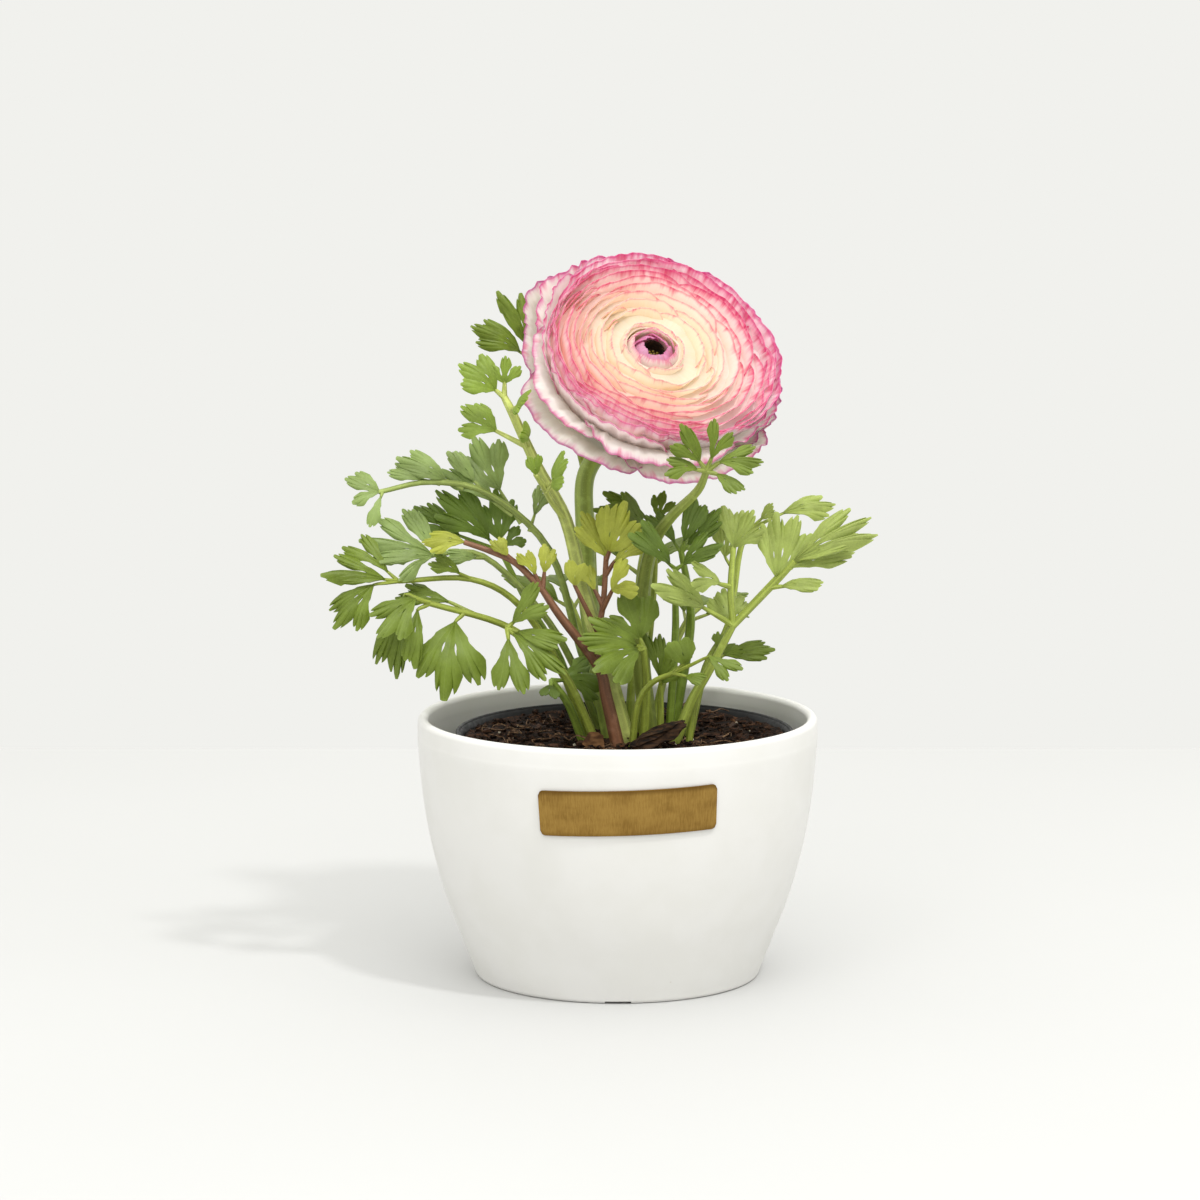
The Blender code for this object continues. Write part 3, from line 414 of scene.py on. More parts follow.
# Petal colours and shares, each with how far out its petals stand.
OUTMOST = 1.3
# The stops for the two outmost rings are greyed: partly the petals' own cream, partly painted shade from
# the bloom above.
BODY_TONES = (
    (0.0, "fcecf3"), (0.12, "fbf4e6"), (0.25, "fcf4e0"), (0.45, "fef5e6"), (0.62, "fff5ee"),
    (0.8, "fff6f4"), (0.95, "fffafa"), (1.14, "f8f4f0"), (1.3, "eee9e2"),
)
BACK_TONES = (
    (0.0, "fdf0f4"), (0.12, "fdf8ea"), (0.3, "fef8e6"), (0.5, "fff5e9"), (0.7, "fff3e9"),
    (0.9, "fff4ee"), (1.05, "fcf8f2"), (1.2, "f6f2ea"), (1.3, "efebe2"),
)
# Painted light: each layer's share of the coral glow painted in the shaded gaps between petals.
PAINTED_GLOW_SHARES = ((0.0, 0.0), (0.4, 0.05), (0.6, 0.4), (0.8, 0.45), (0.97, 0.2), (1.1, 0.0))
MARGIN_TONES = (
    (0.0, "eb92cb"), (0.2, "f2a2c2"), (0.45, "f48eb0"), (0.62, "f06698"), (0.8, "ee5c9e"),
    (1.0, "ec62b2"), (1.14, "e864b6"), (1.3, "d45cac"),
)
MARGIN_STARTS = (
    (0.0, 0.78), (0.08, 0.9), (0.17, 0.96), (0.45, 0.98), (0.55, 0.965), (0.66, 0.94),
    (0.8, 0.925), (0.97, 0.92), (1.14, 0.92), (1.3, 0.925),
)
RIM_TONES = (
    (0.0, "dc7ab0"), (0.2, "e0748e"), (0.6, "dc4478"), (1.0, "dc4a9c"), (1.3, "c24c9c"),
)
RIM_SHARES = ((0.0, 0.3), (0.2, 0.25), (0.45, 0.3), (0.65, 0.45), (1.0, 0.45), (1.3, 0.6))

# Stage: the floor, which ends behind the pot, then each lamp's place, what it aims at and its size.
FLOOR_WIDTH, FLOOR_DEPTH, FLOOR_BACK = 6000, 3400, 434
KEY_LAMP = ((500, -680, 1450), (0, 0, 130), 120)
FILL_LAMP = ((-200, -1300, 1700), (0, 0, 150), 1600)
CAMERA_PLACE = (-6.136, -1600, 374.85)
CAMERA_DIP = radians(8.61)


# Making and shaping.


def choose(*objects):
    """Selects these objects only, with the first one active."""
    bpy.ops.object.select_all(action="DESELECT")
    for obj in objects:
        obj.select_set(True)
    bpy.context.view_layer.objects.active = objects[0]


def primitive(add, **settings):
    """What one of the primitive operators adds, with only it selected."""
    bpy.ops.object.select_all(action="DESELECT")
    add(**settings)
    return bpy.context.object


def apply_modifiers(obj):
    choose(obj)
    for modifier in list(obj.modifiers):
        bpy.ops.object.modifier_apply(modifier=modifier.name)
    return obj


def sheet(name, columns, rows, place):
    """A grid of this many faces, its point at shares (u, v) of the way moved to place(u, v)."""
    add_grid = bpy.ops.mesh.primitive_grid_add
    obj = primitive(add_grid, x_subdivisions=columns, y_subdivisions=rows, size=1, calc_uvs=True)
    obj.name = name
    for vert in obj.data.vertices:
        vert.co = MM * Vector(place(vert.co.x + 0.5, vert.co.y + 0.5))
    return obj


def joined(name, objects):
    """The objects as one, under this name."""
    choose(*objects)
    if len(objects) > 1:
        bpy.ops.object.join()
    obj = bpy.context.object
    obj.name = obj.data.name = name
    return obj


def weld(obj, reach=0.01, face_out=True):
    """Merges points this near each other, in millimetres, and turns the faces outwards."""
    choose(obj)
    bpy.ops.object.mode_set(mode="EDIT")
    bpy.ops.mesh.select_all(action="SELECT")
    bpy.ops.mesh.remove_doubles(threshold=reach * MM)
    if face_out:
        bpy.ops.mesh.normals_make_consistent(inside=False)
    bpy.ops.object.mode_set(mode="OBJECT")
    return obj


def thicken(obj, thickness, other_side=0):
    """Gives a sheet its thickness. other_side is how many material slots on its back's material is."""
    modifier = obj.modifiers.new("thickness", "SOLIDIFY")
    modifier.thickness = thickness * MM
    modifier.offset = 0
    modifier.material_offset = other_side
    return apply_modifiers(obj)


def smooth(obj, angle=40):
    """Shades the object smooth, but for edges sharper than this many degrees."""
    choose(obj)
    bpy.ops.object.shade_smooth_by_angle(angle=radians(angle))
    return obj


def mark(obj, **values):
    """Stores a value, or a list with one for each point, as an attribute for the object's material."""
    for name, value in values.items():
        every = value if isinstance(value, list) else [value] * len(obj.data.vertices)
        obj.data.attributes.new(name, "FLOAT", "POINT").data.foreach_set("value", every)
    return obj


def paint(obj, *materials):
    """Gives the object these materials, one slot each."""
    obj.data.materials.clear()
    for material in materials:
        obj.data.materials.append(material)
    return obj


def stand_for(obj, slot, *nodes):
    """Lets the piece ride, in place of these CAD nodes."""
    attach(obj, "root")
    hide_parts(*nodes)
    return obj


def turned(name, profile, steps, centre=0.0):
    """A solid of revolution. The profile of (radius, height) starts and ends on the axis."""
    obj = primitive(bpy.ops.mesh.primitive_plane_add, size=1)
    obj.data.clear_geometry()
    points = [(radius * MM, 0, height * MM) for radius, height in profile]
    obj.data.from_pydata(points, [(i, i + 1) for i in range(len(points) - 1)], [])
    modifier = obj.modifiers.new("turning", "SCREW")
    modifier.steps = modifier.render_steps = steps
    modifier.use_merge_vertices = True
    modifier.merge_threshold = 1e-6
    obj.name = obj.data.name = name
    weld(apply_modifiers(obj))
    obj.data.transform(Matrix.Translation((centre * MM, 0, 0)))
    return obj


def cut(obj, cutters):
    """Cuts each of the cutters out of the object and removes them."""
    for cutter in cutters:
        modifier = obj.modifiers.new("cut", "BOOLEAN")
        modifier.operation = "DIFFERENCE"
        modifier.solver = "EXACT"
        modifier.object = cutter
    apply_modifiers(obj)
    for cutter in cutters:
        bpy.data.objects.remove(cutter)
    return obj


def smooth_route(points, steps):
    """A Catmull-Rom curve through the points, with this many steps from each to the next."""
    points = [Vector(p) for p in points]
    ends = [2 * points[0] - points[1], *points, 2 * points[-1] - points[-2]]
    route = []
    for a, b, c, d in zip(ends, ends[1:], ends[2:], ends[3:]):
        for step in range(steps):
            t = step / steps
            route.append(
                b + 0.5 * t * (c - a + t * (2 * a - 5 * b + 4 * c - d + t * (3 * b - a - 3 * c + d)))
            )
    return [*route, points[-1]]


def tube(name, points, radius_at, sides=10, steps=5, level_start=False, ridges=0.0):
    """A round stalk along the route, closed at both ends. radius_at takes the share of its length, and
    ridges is the height of the ridges along it, as a share of its radius."""
    route = smooth_route(points, steps)
    last = len(route) - 1
    rings = []
    side = Vector((1, 0, 0))
    for i, point in enumerate(route):
        ahead = (route[min(i + 1, last)] - route[max(i - 1, 0)]).normalized()
        if i == 0 and level_start:
            ahead = Vector((0, 0, 1))
        side = (side - side.dot(ahead) * ahead).normalized()
        rings.append((point, side, ahead.cross(side), radius_at(i / last)))
    start, end = rings[0], rings[-1]
    tip = end[0] + 0.35 * end[3] * (route[-1] - route[-2]).normalized()
    rings = [(*start[:3], 0), *rings, (tip, end[1], end[2], 0.5 * end[3]), (tip, *end[1:3], 0)]

    def place(u, v):
        point, across, over, radius = rings[round(v * (len(rings) - 1))]
        angle = 2 * pi * u
        radius *= 1 + ridges * cos(RIDGE_COUNT * angle)
        return point + radius * (cos(angle) * across + sin(angle) * over)

    return sheet(name, sides, len(rings) - 1, place)


def fade(value, low, high):
    """0 below low, 1 above high, and smooth between them."""
    share = min(1, max(0, (value - low) / (high - low)))
    return share * share * (3 - 2 * share)


def rough(point, size, seed=0.0):
    """Smooth noise from -1 to 1 at a point in millimetres, with lumps of about this size."""
    return noise.noise(Vector(point) / size + Vector((seed, 2.3 * seed, -seed)))


def colour(text):
    """A linear colour from its six hexadecimal digits."""
    channels = [int(text[i : i + 2], 16) / 255 for i in (0, 2, 4)]
    return tuple(c / 12.92 if c < 0.04045 else ((c + 0.055) / 1.055) ** 2.4 for c in channels)


def toned(text, factor, lift=0.0):
    """A darker or a paler version of a colour."""
    return tuple(min(1, factor * c + lift) for c in colour(text))


# Materials.


class Look:
    """A material being made: its node tree, with a short call for each kind of node."""

    def __init__(self, name, **sockets):
        self.material = bpy.data.materials.new(name)
        self.material.use_nodes = True
        self.tree = self.material.node_tree
        self.surface = self.tree.nodes["Principled BSDF"]
        for socket, value in sockets.items():
            self.surface.inputs[socket.replace("_", " ")].default_value = value

    def feed(self, socket, source):
        if isinstance(source, bpy.types.NodeSocket):
            self.tree.links.new(source, socket)
        elif hasattr(source, "__len__") and socket.type == "RGBA":
            socket.default_value = (*source[:3], 1)
        else:
            socket.default_value = source

    def add(self, kind, feeds, output=0, **settings):
        node = self.tree.nodes.new("ShaderNode" + kind)
        for key, value in settings.items():
            setattr(node, key, value)
        for socket, source in feeds.items():
            self.feed(node.inputs[socket], source)
        return node.outputs[output]

    def math(self, operation, first, second=0.0, third=0.0):
        return self.add("Math", {0: first, 1: second, 2: third}, operation=operation)

    def times(self, first, second):
        return self.math("MULTIPLY", first, second)

    def plus(self, first, second):
        return self.math("ADD", first, second)

    def added(self, base, value, share):
        """The base with this share of the value added."""
        return self.math("MULTIPLY_ADD", value, share, base)

    def mix(self, share, first, second):
        return self.add("Mix", {0: share, 6: first, 7: second}, 2, data_type="RGBA")

    def step(self, value, low, high, start=0.0, end=1.0):
        """start below low, end above high, and smooth between them."""
        feeds = {0: value, 1: low, 2: high, 3: start, 4: end}
        return self.add("MapRange", feeds, interpolation_type="SMOOTHSTEP")

    def ramp(self, value, stops):
        """A colour, or a grey, read from stops of (place, colour or grey)."""
        output = self.add("ValToRGB", {0: value})
        elements = output.node.color_ramp.elements
        while len(elements) < len(stops):
            elements.new(0.5)
        for element, (place, _) in zip(elements, stops):
            element.position = place
        for element, (_, shade) in zip(elements, stops):
            element.color = (*(shade if hasattr(shade, "__len__") else (shade,) * 3), 1)
        return output

    def attribute(self, name):
        return self.add("Attribute", {}, "Fac", attribute_name=name)

    def across_and_along(self):
        """The two shares of the UV map."""
        split = self.add("SeparateXYZ", {0: self.add("UVMap", {}, uv_map="UVMap")}).node
        return split.outputs[0], split.outputs[1]

    def point(self, x, y, z=0.0):
        return self.add("CombineXYZ", {0: x, 1: y, 2: z})

    def noise(self, vector, scale=1.0, detail=2.0):
        return self.add("TexNoise", {"Vector": vector, "Scale": scale, "Detail": detail})

    def grain(self, size, detail=2.0, stretch=(1, 1, 1)):
        """Noise through the object, with lumps of this size in millimetres."""
        vector = self.add("Mapping", {"Vector": self.add("TexCoord", {}, "Object"), "Scale": stretch})
        return self.noise(vector, 1 / (size * MM), detail)

    def cells(self, size):
        """Distance through the object to the nearest of a scatter of points, this far apart."""
        feeds = {"Vector": self.add("TexCoord", {}, "Object"), "Scale": 1 / (size * MM)}
        return self.add("TexVoronoi", feeds, "Distance")

    def bump(self, height, strength, distance):
        """Relief on the surface, its full height in millimetres."""
        feeds = {"Strength": strength, "Distance": distance * MM, "Height": height}
        self.feed(self.surface.inputs["Normal"], self.add("Bump", feeds))

    def base(self, source):
        self.feed(self.surface.inputs["Base Color"], source)

    def roughness(self, source):
        self.feed(self.surface.inputs["Roughness"], source)

    def let_light_through(self, share, tone):
        """Mixes in light that comes through from behind, in the given tone."""
        through = self.add("BsdfTranslucent", {"Color": tone})
        both = self.add("MixShader", {0: share, 1: self.surface.outputs[0], 2: through})
        output = self.tree.nodes["Material Output"]
        self.tree.links.new(both, output.inputs["Surface"])


def ceramic_look(settings):
    """Matte off-white glaze, with a faint mottle, pinholes and a few rusty specks."""
    look = Look("matte_ceramic", Roughness=0.5)
    mottle = look.grain(22, 3)
    speck = look.step(look.cells(7), 0.075, 0.04)
    rare = look.step(look.grain(9), 0.6, 0.66)
    body = look.mix(look.step(mottle, 0.35, 0.65), settings.wall_colour, settings.shade_colour)
    speck = look.times(speck, rare)
    look.base(look.mix(look.times(speck, 0.55), body, colour("9a8468")))
    look.roughness(look.step(mottle, 0.3, 0.7, 0.42, 0.56))
    relief = look.plus(look.grain(1.5, 3), look.times(speck, -0.8))
    look.bump(relief, 0.12, 0.12)
    return look.material


def brass_look(settings):
    """Antique brass, brushed up and down, darker where it has tarnished."""
    look = Look("antique_brass", Metallic=0.92, Roughness=0.4)
    brushed = look.grain(0.35, 3, (1, 1, 0.035))
    fine = look.grain(0.14, 2, (1, 1, 0.02))
    tarnish = look.grain(9, 3, (1, 1, 1.6))
    _, v = look.across_and_along()
    top = look.step(v, 0.86, 1.0)
    lower = look.step(v, 0.12, 0.0, 0, 0.4)
    tone = look.mix(look.step(tarnish, 0.3, 0.7), settings.brass_colour, settings.tarnish_colour)
    tone = look.mix(look.step(brushed, 0.3, 0.75, 0, 0.45), tone, colour("b8954f"))
    tone = look.mix(look.step(fine, 0.5, 0.8, 0, 0.35), tone, colour("6b4a1c"))
    dark = look.math("MAXIMUM", look.times(top, 0.75), lower)
    look.base(look.mix(dark, tone, colour("5d4018")))
    look.roughness(look.step(brushed, 0.2, 0.8, 0.3, 0.5))
    look.bump(look.plus(brushed, fine), 0.35, 0.05)
    return look.material


def black_plastic_look():
    """Moulded black plastic with a fine satin grain and dusty streaks of potting mix."""
    look = Look("black_pot_plastic", Roughness=0.5, Specular_IOR_Level=0.25)
    dust = look.step(look.grain(5, 4), 0.52, 0.75)
    look.base(look.mix(look.times(dust, 0.35), colour("0b0c0e"), colour("2a251f")))
    look.roughness(look.step(look.grain(2, 3), 0.3, 0.7, 0.34, 0.55))
    look.bump(look.grain(0.5, 2), 0.25, 0.08)
    return look.material


def soil_look(settings):
    """Dark peaty mix: near black in the hollows, brown on the crumbs."""
    look = Look("potting_mix", Roughness=0.95, Specular_IOR_Level=0.15)
    lumps = look.grain(3.2, 5)
    crumbs = look.grain(0.9, 4)
    browns = (
        (0.36, colour("0c0806")), (0.5, settings.soil_colour),
        (0.6, colour("4a3020")), (0.72, colour("7a583c")),
    )
    look.base(look.ramp(look.added(look.times(lumps, 0.5), crumbs, 0.5), browns))
    look.bump(look.plus(lumps, crumbs), 0.9, 1.1)
    return look.material


def litter_look(name, dark, light, grain_size, along=1):
    """A dead, fibrous scrap in two browns. along is the grain's stretch: under 1, it runs along X."""
    look = Look(name, Roughness=0.85, Specular_IOR_Level=0.2)
    fibre = look.grain(grain_size, 4, (along, 1, 1))
    look.base(look.mix(look.step(fibre, 0.35, 0.65), colour(dark), colour(light)))
    look.bump(fibre, 0.7, 0.5)
    return look.material


def petal_look(name, back):
    """Cream at the heart, peach then white further out, with pink margins that run in as streaks."""
    look = Look(name, Roughness=0.5)
    u, v = look.across_and_along()
    seed = look.attribute("petal_seed")
    out = look.math("DIVIDE", look.attribute("layer"), OUTMOST)

    def by_layer(stops):
        return look.ramp(out, [(at / OUTMOST, colour(x) if isinstance(x, str) else x) for at, x in stops])

    def lines(across, along, detail):
        return look.noise(look.point(look.times(u, across), look.times(v, along), seed), 1, detail)

    streaks, fine, patches = lines(34, 1.6, 3), lines(120, 3, 2), lines(4, 4, 2)
    ground = by_layer(BACK_TONES if back else BODY_TONES)
    body = look.mix(look.step(fine, 0.3, 0.8, 0, 0.25), ground, colour("ffffff"))
    # A coral glow is painted on the middle of the petals, most on the near left: painted light for light
    # through the petals in the shaded gaps.
    depth = look.times(look.step(v, 0.3, 0.6), look.step(v, 0.99, 0.85))
    warm = look.times(look.times(by_layer(PAINTED_GLOW_SHARES), depth), look.attribute("warm"))
    body = look.mix(look.times(warm, look.step(patches, 0.2, 0.6)), body, colour("f79a70"))
    start = by_layer(MARGIN_STARTS)
    edge = look.added(v, look.math("SUBTRACT", streaks, 0.5), 0.2)
    edge = look.added(edge, look.math("SUBTRACT", patches, 0.5), 0.1)
    margin = look.times(look.step(edge, start, look.plus(start, 0.1)), look.attribute("rosy"))
    margin = look.times(margin, 0.6 if back else 0.92)
    margin = look.times(margin, look.step(lines(60, 2, 3), 0.3, 0.6, 0.5, 1))
    pink = look.mix(look.step(streaks, 0.48, 0.68, 0, 0.75), by_layer(MARGIN_TONES), colour("e23c7c"))
    body = look.mix(margin, body, pink)
    rim = look.times(by_layer(RIM_SHARES), look.step(v, 0.975, 0.995))
    tone = look.mix(rim, body, by_layer(RIM_TONES))
    look.base(tone)
    look.bump(look.plus(streaks, fine), 0.2, 0.2)
    look.let_light_through(0.6, tone)
    return look.material


def leaf_side_look(name, tone, roughness, veins_rise):
    """One side of a blade, mottled, with a pale midrib, side veins and edge."""
    look = Look(name, Roughness=roughness, Specular_IOR_Level=0.35)
    u, v = look.across_and_along()
    off = look.math("ABSOLUTE", look.math("SUBTRACT", u, 0.5))
    pale = toned(tone, 1.25, 0.05)
    body = look.mix(look.step(look.grain(5, 3), 0.3, 0.7), colour(tone), toned(tone, 0.78))
    body = look.mix(look.step(look.grain(14), 0.4, 0.7, 0, 0.4), body, pale)
    body = look.mix(look.times(look.attribute("shade"), 0.4), body, toned(tone, 0.55))
    slant = look.added(v, off, -1.1)
    rib = look.math("ABSOLUTE", look.math("SUBTRACT", look.math("FRACT", look.times(slant, 6.5)), 0.5))
    rib = look.times(look.step(rib, 0.06, 0.0), look.step(off, 0.48, 0.25))
    midrib = look.step(off, look.added(0.045, v, -0.028), 0.0)
    edge = look.math("MAXIMUM", look.step(off, 0.475, 0.5), look.step(v, 0.965, 1.0))
    veins = look.math("MAXIMUM", look.times(rib, 0.15), look.times(midrib, 0.5))
    body = look.mix(look.math("MAXIMUM", veins, look.times(edge, 0.3)), body, pale)
    flesh = look.grain(0.7, 2)
    body = look.mix(look.step(flesh, 0.4, 0.75, 0, 0.18), body, pale)
    look.base(body)
    look.bump(look.added(look.times(flesh, 0.5), veins, veins_rise), 0.2, 0.2)
    look.let_light_through(0.35, look.mix(0.35, body, colour("b9cf3a")))
    return look.material


def stalk_look(name, tone):
    """Green skin with long ridges, lighter streaks and a fine down."""
    look = Look(name, Roughness=0.5)
    u, v = look.across_and_along()
    pale = toned(tone, 1.3, 0.03)
    lines = look.noise(look.point(look.times(u, 9), look.times(v, 1.5)), 1, 3)
    body = look.mix(look.step(lines, 0.35, 0.65), colour(tone), toned(tone, 0.62))
    body = look.mix(look.step(look.grain(4, 2), 0.5, 0.75, 0, 0.5), body, pale)
    down = look.grain(0.45, 2)
    body = look.mix(look.step(down, 0.55, 0.7, 0, 0.35), body, pale)
    look.base(body)
    look.bump(look.plus(lines, look.times(down, 0.5)), 0.45, 0.3)
    look.let_light_through(0.12, body)
    return look.material


def leaf_looks(name, upper, under, stalk):
    """The materials of a leaf's upper side, with sunken veins, its underside and its stalks."""
    return [
        leaf_side_look(f"{name}_upper", upper, 0.45, -1.2),
        leaf_side_look(f"{name}_under", under, 0.6, 1.2),
        stalk_look(f"{name}_stalk", stalk),
    ]


def mottled_look(name, first, second, spots, low, high, relief, **sockets):
    """Two tones in spots of this size. relief is the size of its grain, its strength and its height."""
    look = Look(name, **sockets)
    look.base(look.mix(look.step(look.grain(spots), low, high), colour(first), colour(second)))
    size, strength, height = relief
    look.bump(look.grain(size), strength, height)
    return look.material


# Cachepot, plate, nursery pot and potting mix.


def smooth_profile(points, steps=5):
    """A profile of (radius, height) with its bends rounded."""
    return [(p.x, p.y) for p in smooth_route([(*point, 0) for point in points], steps)]


def arc(radius, height, across, up, steps):
    """The profile of a half round, over the top from its outer side to its inner one."""
    angles = (pi * i / steps for i in range(steps + 1))
    return [(radius + across * cos(a), height + up * sin(a)) for a in angles]


def cachepot(steps):
    """The white pot: full round wall, rounded lip, hollow inside and a notch under the foot."""
    foot, lip = POT_WALL[0][0], POT_WALL[-1][0]
    half = POT_THICK / 2
    wall = smooth_profile([(foot + 0.6, 1.0), *POT_WALL[1:], (lip + 0.1, LIP_LOW)])
    rim = arc(lip - half, POT_HEIGHT - LIP_ROUND, half, LIP_ROUND, 12)
    inner = [(r - POT_THICK, z) for r, z in reversed(POT_WALL) if z > 10]
    bowl = ((48.6, 9), (47.4, 6.4), (45, POT_FLOOR))
    inner = smooth_profile([(lip - POT_THICK, LIP_LOW + 0.5), *inner, *bowl])
    profile = [(0, 0), (foot - 0.6, 0), (foot + 0.1, 0.25), *wall, *rim, *inner, (0, POT_FLOOR)]
    pot = turned("cachepot", profile, steps)
    width, depth, height = NOTCH
    size = (width * MM, 2 * depth * MM, 2 * height * MM)
    notch = primitive(bpy.ops.mesh.primitive_cube_add, size=1, location=(0, -foot * MM, 0), scale=size)
    return smooth(cut(pot, [notch]), 50)


def wall_radius(height):
    """The cachepot's outer radius at this height, straight between the wall's points."""
    for (r0, z0), (r1, z1) in zip(POT_WALL, POT_WALL[1:]):
        if height <= z1:
            return r0 + (r1 - r0) * (height - z0) / (z1 - z0)
    return POT_WALL[-1][0]


def plate(settings):
    """The blank plate: a sheet wrapped round the wall, thickened, its corners round and edges soft."""
    half_length, half_height = settings.length / MM / 2, settings.height / MM / 2
    corner = PLATE_CORNER

    def place(u, v):
        across = half_length * (2 * u - 1)
        inset = min(1, max(0, abs(across) - (half_length - corner)) / corner)
        up = (half_height - corner * (1 - (1 - inset * inset) ** 0.5)) * (2 * v - 1)
        s = PLATE_CENTRE[0] + across * cos(PLATE_TILT) - up * sin(PLATE_TILT)
        z = PLATE_CENTRE[1] + across * sin(PLATE_TILT) + up * cos(PLATE_TILT)
        radius = wall_radius(z) + GAP + PLATE_THICK / 2
        angle = s / wall_radius(PLATE_CENTRE[1])
        return radius * sin(angle), -radius * cos(angle), z

    obj = thicken(sheet("brass_plate", 90, 16, place), PLATE_THICK)
    bevel = obj.modifiers.new("soft edges", "BEVEL")
    bevel.width = 0.18 * MM
    bevel.segments = 3
    bevel.limit_method = "ANGLE"
    bevel.angle_limit = radians(50)
    apply_modifiers(obj)
    return smooth(weld(obj, 0.001), 35)


def grow_radius(height):
    """The nursery pot's outer radius at this height."""
    return GROW_FOOT + (GROW_RIM - GROW_FOOT) * (height - GROW_BOTTOM) / (GROW_TOP - GROW_BOTTOM)


def nursery_pot(steps):
    """The thin black pot: a step below its rolled rim, and drain holes."""
    low, top, wall = GROW_BOTTOM, GROW_TOP, GROW_THICK
    band = top - RIM_BAND
    outer = grow_radius(band)
    profile = [
        (0, low), (GROW_FOOT - 1, low), (GROW_FOOT, low + 1), (outer - 0.1, band - 0.3), (outer, band),
        (outer + 0.9, band + 0.5), (outer + 1.1, band + 1),
        *arc(GROW_RIM + 0.45, top - 0.65, 0.65, 0.65, 8), (GROW_RIM - wall, top - 1.2),
        (outer - wall, band), (GROW_FOOT - wall, low + 1.6), (GROW_FOOT - 2, low + wall), (0, low + wall),
    ]
    pot = turned("nursery_pot", profile, steps, GROW_X)
    add_cylinder = bpy.ops.mesh.primitive_cylinder_add
    drains = []
    for i in range(DRAIN_HOLES):
        angle = 2 * pi * (i + 0.2) / DRAIN_HOLES
        spot = ((GROW_X + DRAIN_RING * cos(angle)) * MM, DRAIN_RING * sin(angle) * MM, low * MM)
        drains.append(
            primitive(add_cylinder, vertices=24, radius=DRAIN_RADIUS * MM, depth=6 * MM, location=spot)
        )
    return smooth(cut(pot, drains), 40)


def soil_height(x, y):
    """The mix's surface: a level crown that rises a little to the wall, broken into lumps."""
    radius = Vector((x - GROW_X, y)).length
    height = SOIL_TOP + SOIL_RISE * fade(radius, CROWN_RADIUS, GROW_RIM - 3)
    lumps = sum(high * rough((x, y, 0), size, seed) for high, size, seed in SOIL_LUMPS)
    return height + lumps - 0.35


def potting_mix(steps):
    """The root ball, its top finely broken."""
    clear = GROW_THICK + GAP
    base = GROW_BOTTOM + GROW_THICK + GAP
    rim = grow_radius(SOIL_EDGE) - clear
    shelf = [(rim * (1 - i / 62), SOIL_EDGE) for i in range(62)]
    profile = [
        (0, base), (GROW_FOOT - clear - 2, base), (grow_radius(base + 2) - clear - 0.2, base + 2),
        *((grow_radius(z) - clear, z) for z in (25, 45, 62, 74)), *shelf, (0, SOIL_EDGE),
    ]
    obj = turned("potting_mix", profile, steps, GROW_X)
    for vert in obj.data.vertices:
        x, y, z = vert.co / MM
        if z > SOIL_EDGE - 0.1:
            vert.co.z = soil_height(x, y) * MM
        elif base + 1 < z < SOIL_EDGE - 1:
            vert.co.x -= 0.4 * MM * abs(rough((x, y, z), 8)) * (1 if x > GROW_X else -1)
    return smooth(obj, 180)


def prototype(obj, shape):
    """The corners and faces of a primitive that is moved to a small shape and removed, in millimetres."""
    points = [Vector(shape(vert.co)) for vert in obj.data.vertices]
    faces = [tuple(face.vertices) for face in obj.data.polygons]
    bpy.data.objects.remove(obj)
    return points, faces


def scatter(name, copies):
    """One mesh from copies, each (points, faces, matrix)."""
    points, faces = [], []
    for shape, sides, matrix in copies:
        first = len(points)
        points += [MM * (matrix @ point) for point in shape]
        faces += [tuple(first + i for i in side) for side in sides]
    obj = sheet(name, 1, 1, lambda u, v: (u, v, 0))
    obj.data.clear_geometry()
    obj.data.from_pydata(points, [], faces)
    return smooth(obj, 30)


def set_down(random, reach, size):
    """The matrix that puts a shape of this size at a random place on the mix, turned at random."""
    radius = reach * random.random() ** 0.5
    angle = random.uniform(0, 2 * pi)
    x, y = GROW_X + radius * cos(angle), radius * sin(angle)
    matrix = Matrix.Translation((x, y, soil_height(x, y) + 0.25 * size))
    matrix @= Matrix.Rotation(random.uniform(0, 2 * pi), 4, "Z")
    matrix @= Matrix.Rotation(random.uniform(-0.6, 0.6), 4, "X")
    return matrix @ Matrix.Scale(size, 4)


def crumbs(random, count):
    """Loose lumps of the mix."""
    ball = prototype(
        primitive(bpy.ops.mesh.primitive_ico_sphere_add, subdivisions=2, radius=0.5),
        lambda co: co * (1 + 0.9 * noise.noise(co * 4)),
    )
    copies = []
    for _ in range(count):
        squat = Matrix.Diagonal((1, random.uniform(0.55, 1), random.uniform(0.4, 0.8), 1))
        size = random.choice(CRUMB_SIZES)
        copies.append((*ball, set_down(random, LITTER_REACH + 1, size) @ squat))
    return copies


def fibres(random, count):
    """Thin bent roots and straws, each a three-sided tube."""
    copies = []
    for _ in range(count):
        length = random.uniform(4, 13)
        bends = [random.uniform(-0.22, 0.22) for _ in range(4)]
        rise = [random.uniform(0.0, 0.12) for _ in range(4)]
        route = [Vector((i / 4 - 0.5, b, h)) for i, (b, h) in enumerate(zip([0, *bends], [0, *rise]))]
        thick = random.uniform(0.14, 0.4) / length
        corners = [thick * Vector((0, cos(2.1 * k), sin(2.1 * k))) for k in range(3)]
        points = [p + corner for p in smooth_route(route, 2) for corner in corners]
        rings = len(points) // 3
        faces = [
            (3 * i + k, 3 * i + (k + 1) % 3, 3 * i + 3 + (k + 1) % 3, 3 * i + 3 + k)
            for i in range(rings - 1) for k in range(3)
        ]
        faces += [(2, 1, 0), (3 * rings - 3, 3 * rings - 2, 3 * rings - 1)]
        copies.append((points, faces, set_down(random, LITTER_REACH, length)))
    return copies


def chips(random, count):
    """Flat bits of bark."""
    block = prototype(
        primitive(bpy.ops.mesh.primitive_cube_add, size=1),
        lambda co: (co.x * (1 - 0.3 * co.y), co.y * 0.5 * (1 - 0.7 * co.x), co.z * 0.22),
    )
    return [(*block, set_down(random, LITTER_REACH, random.uniform(1.8, 5))) for _ in range(count)]


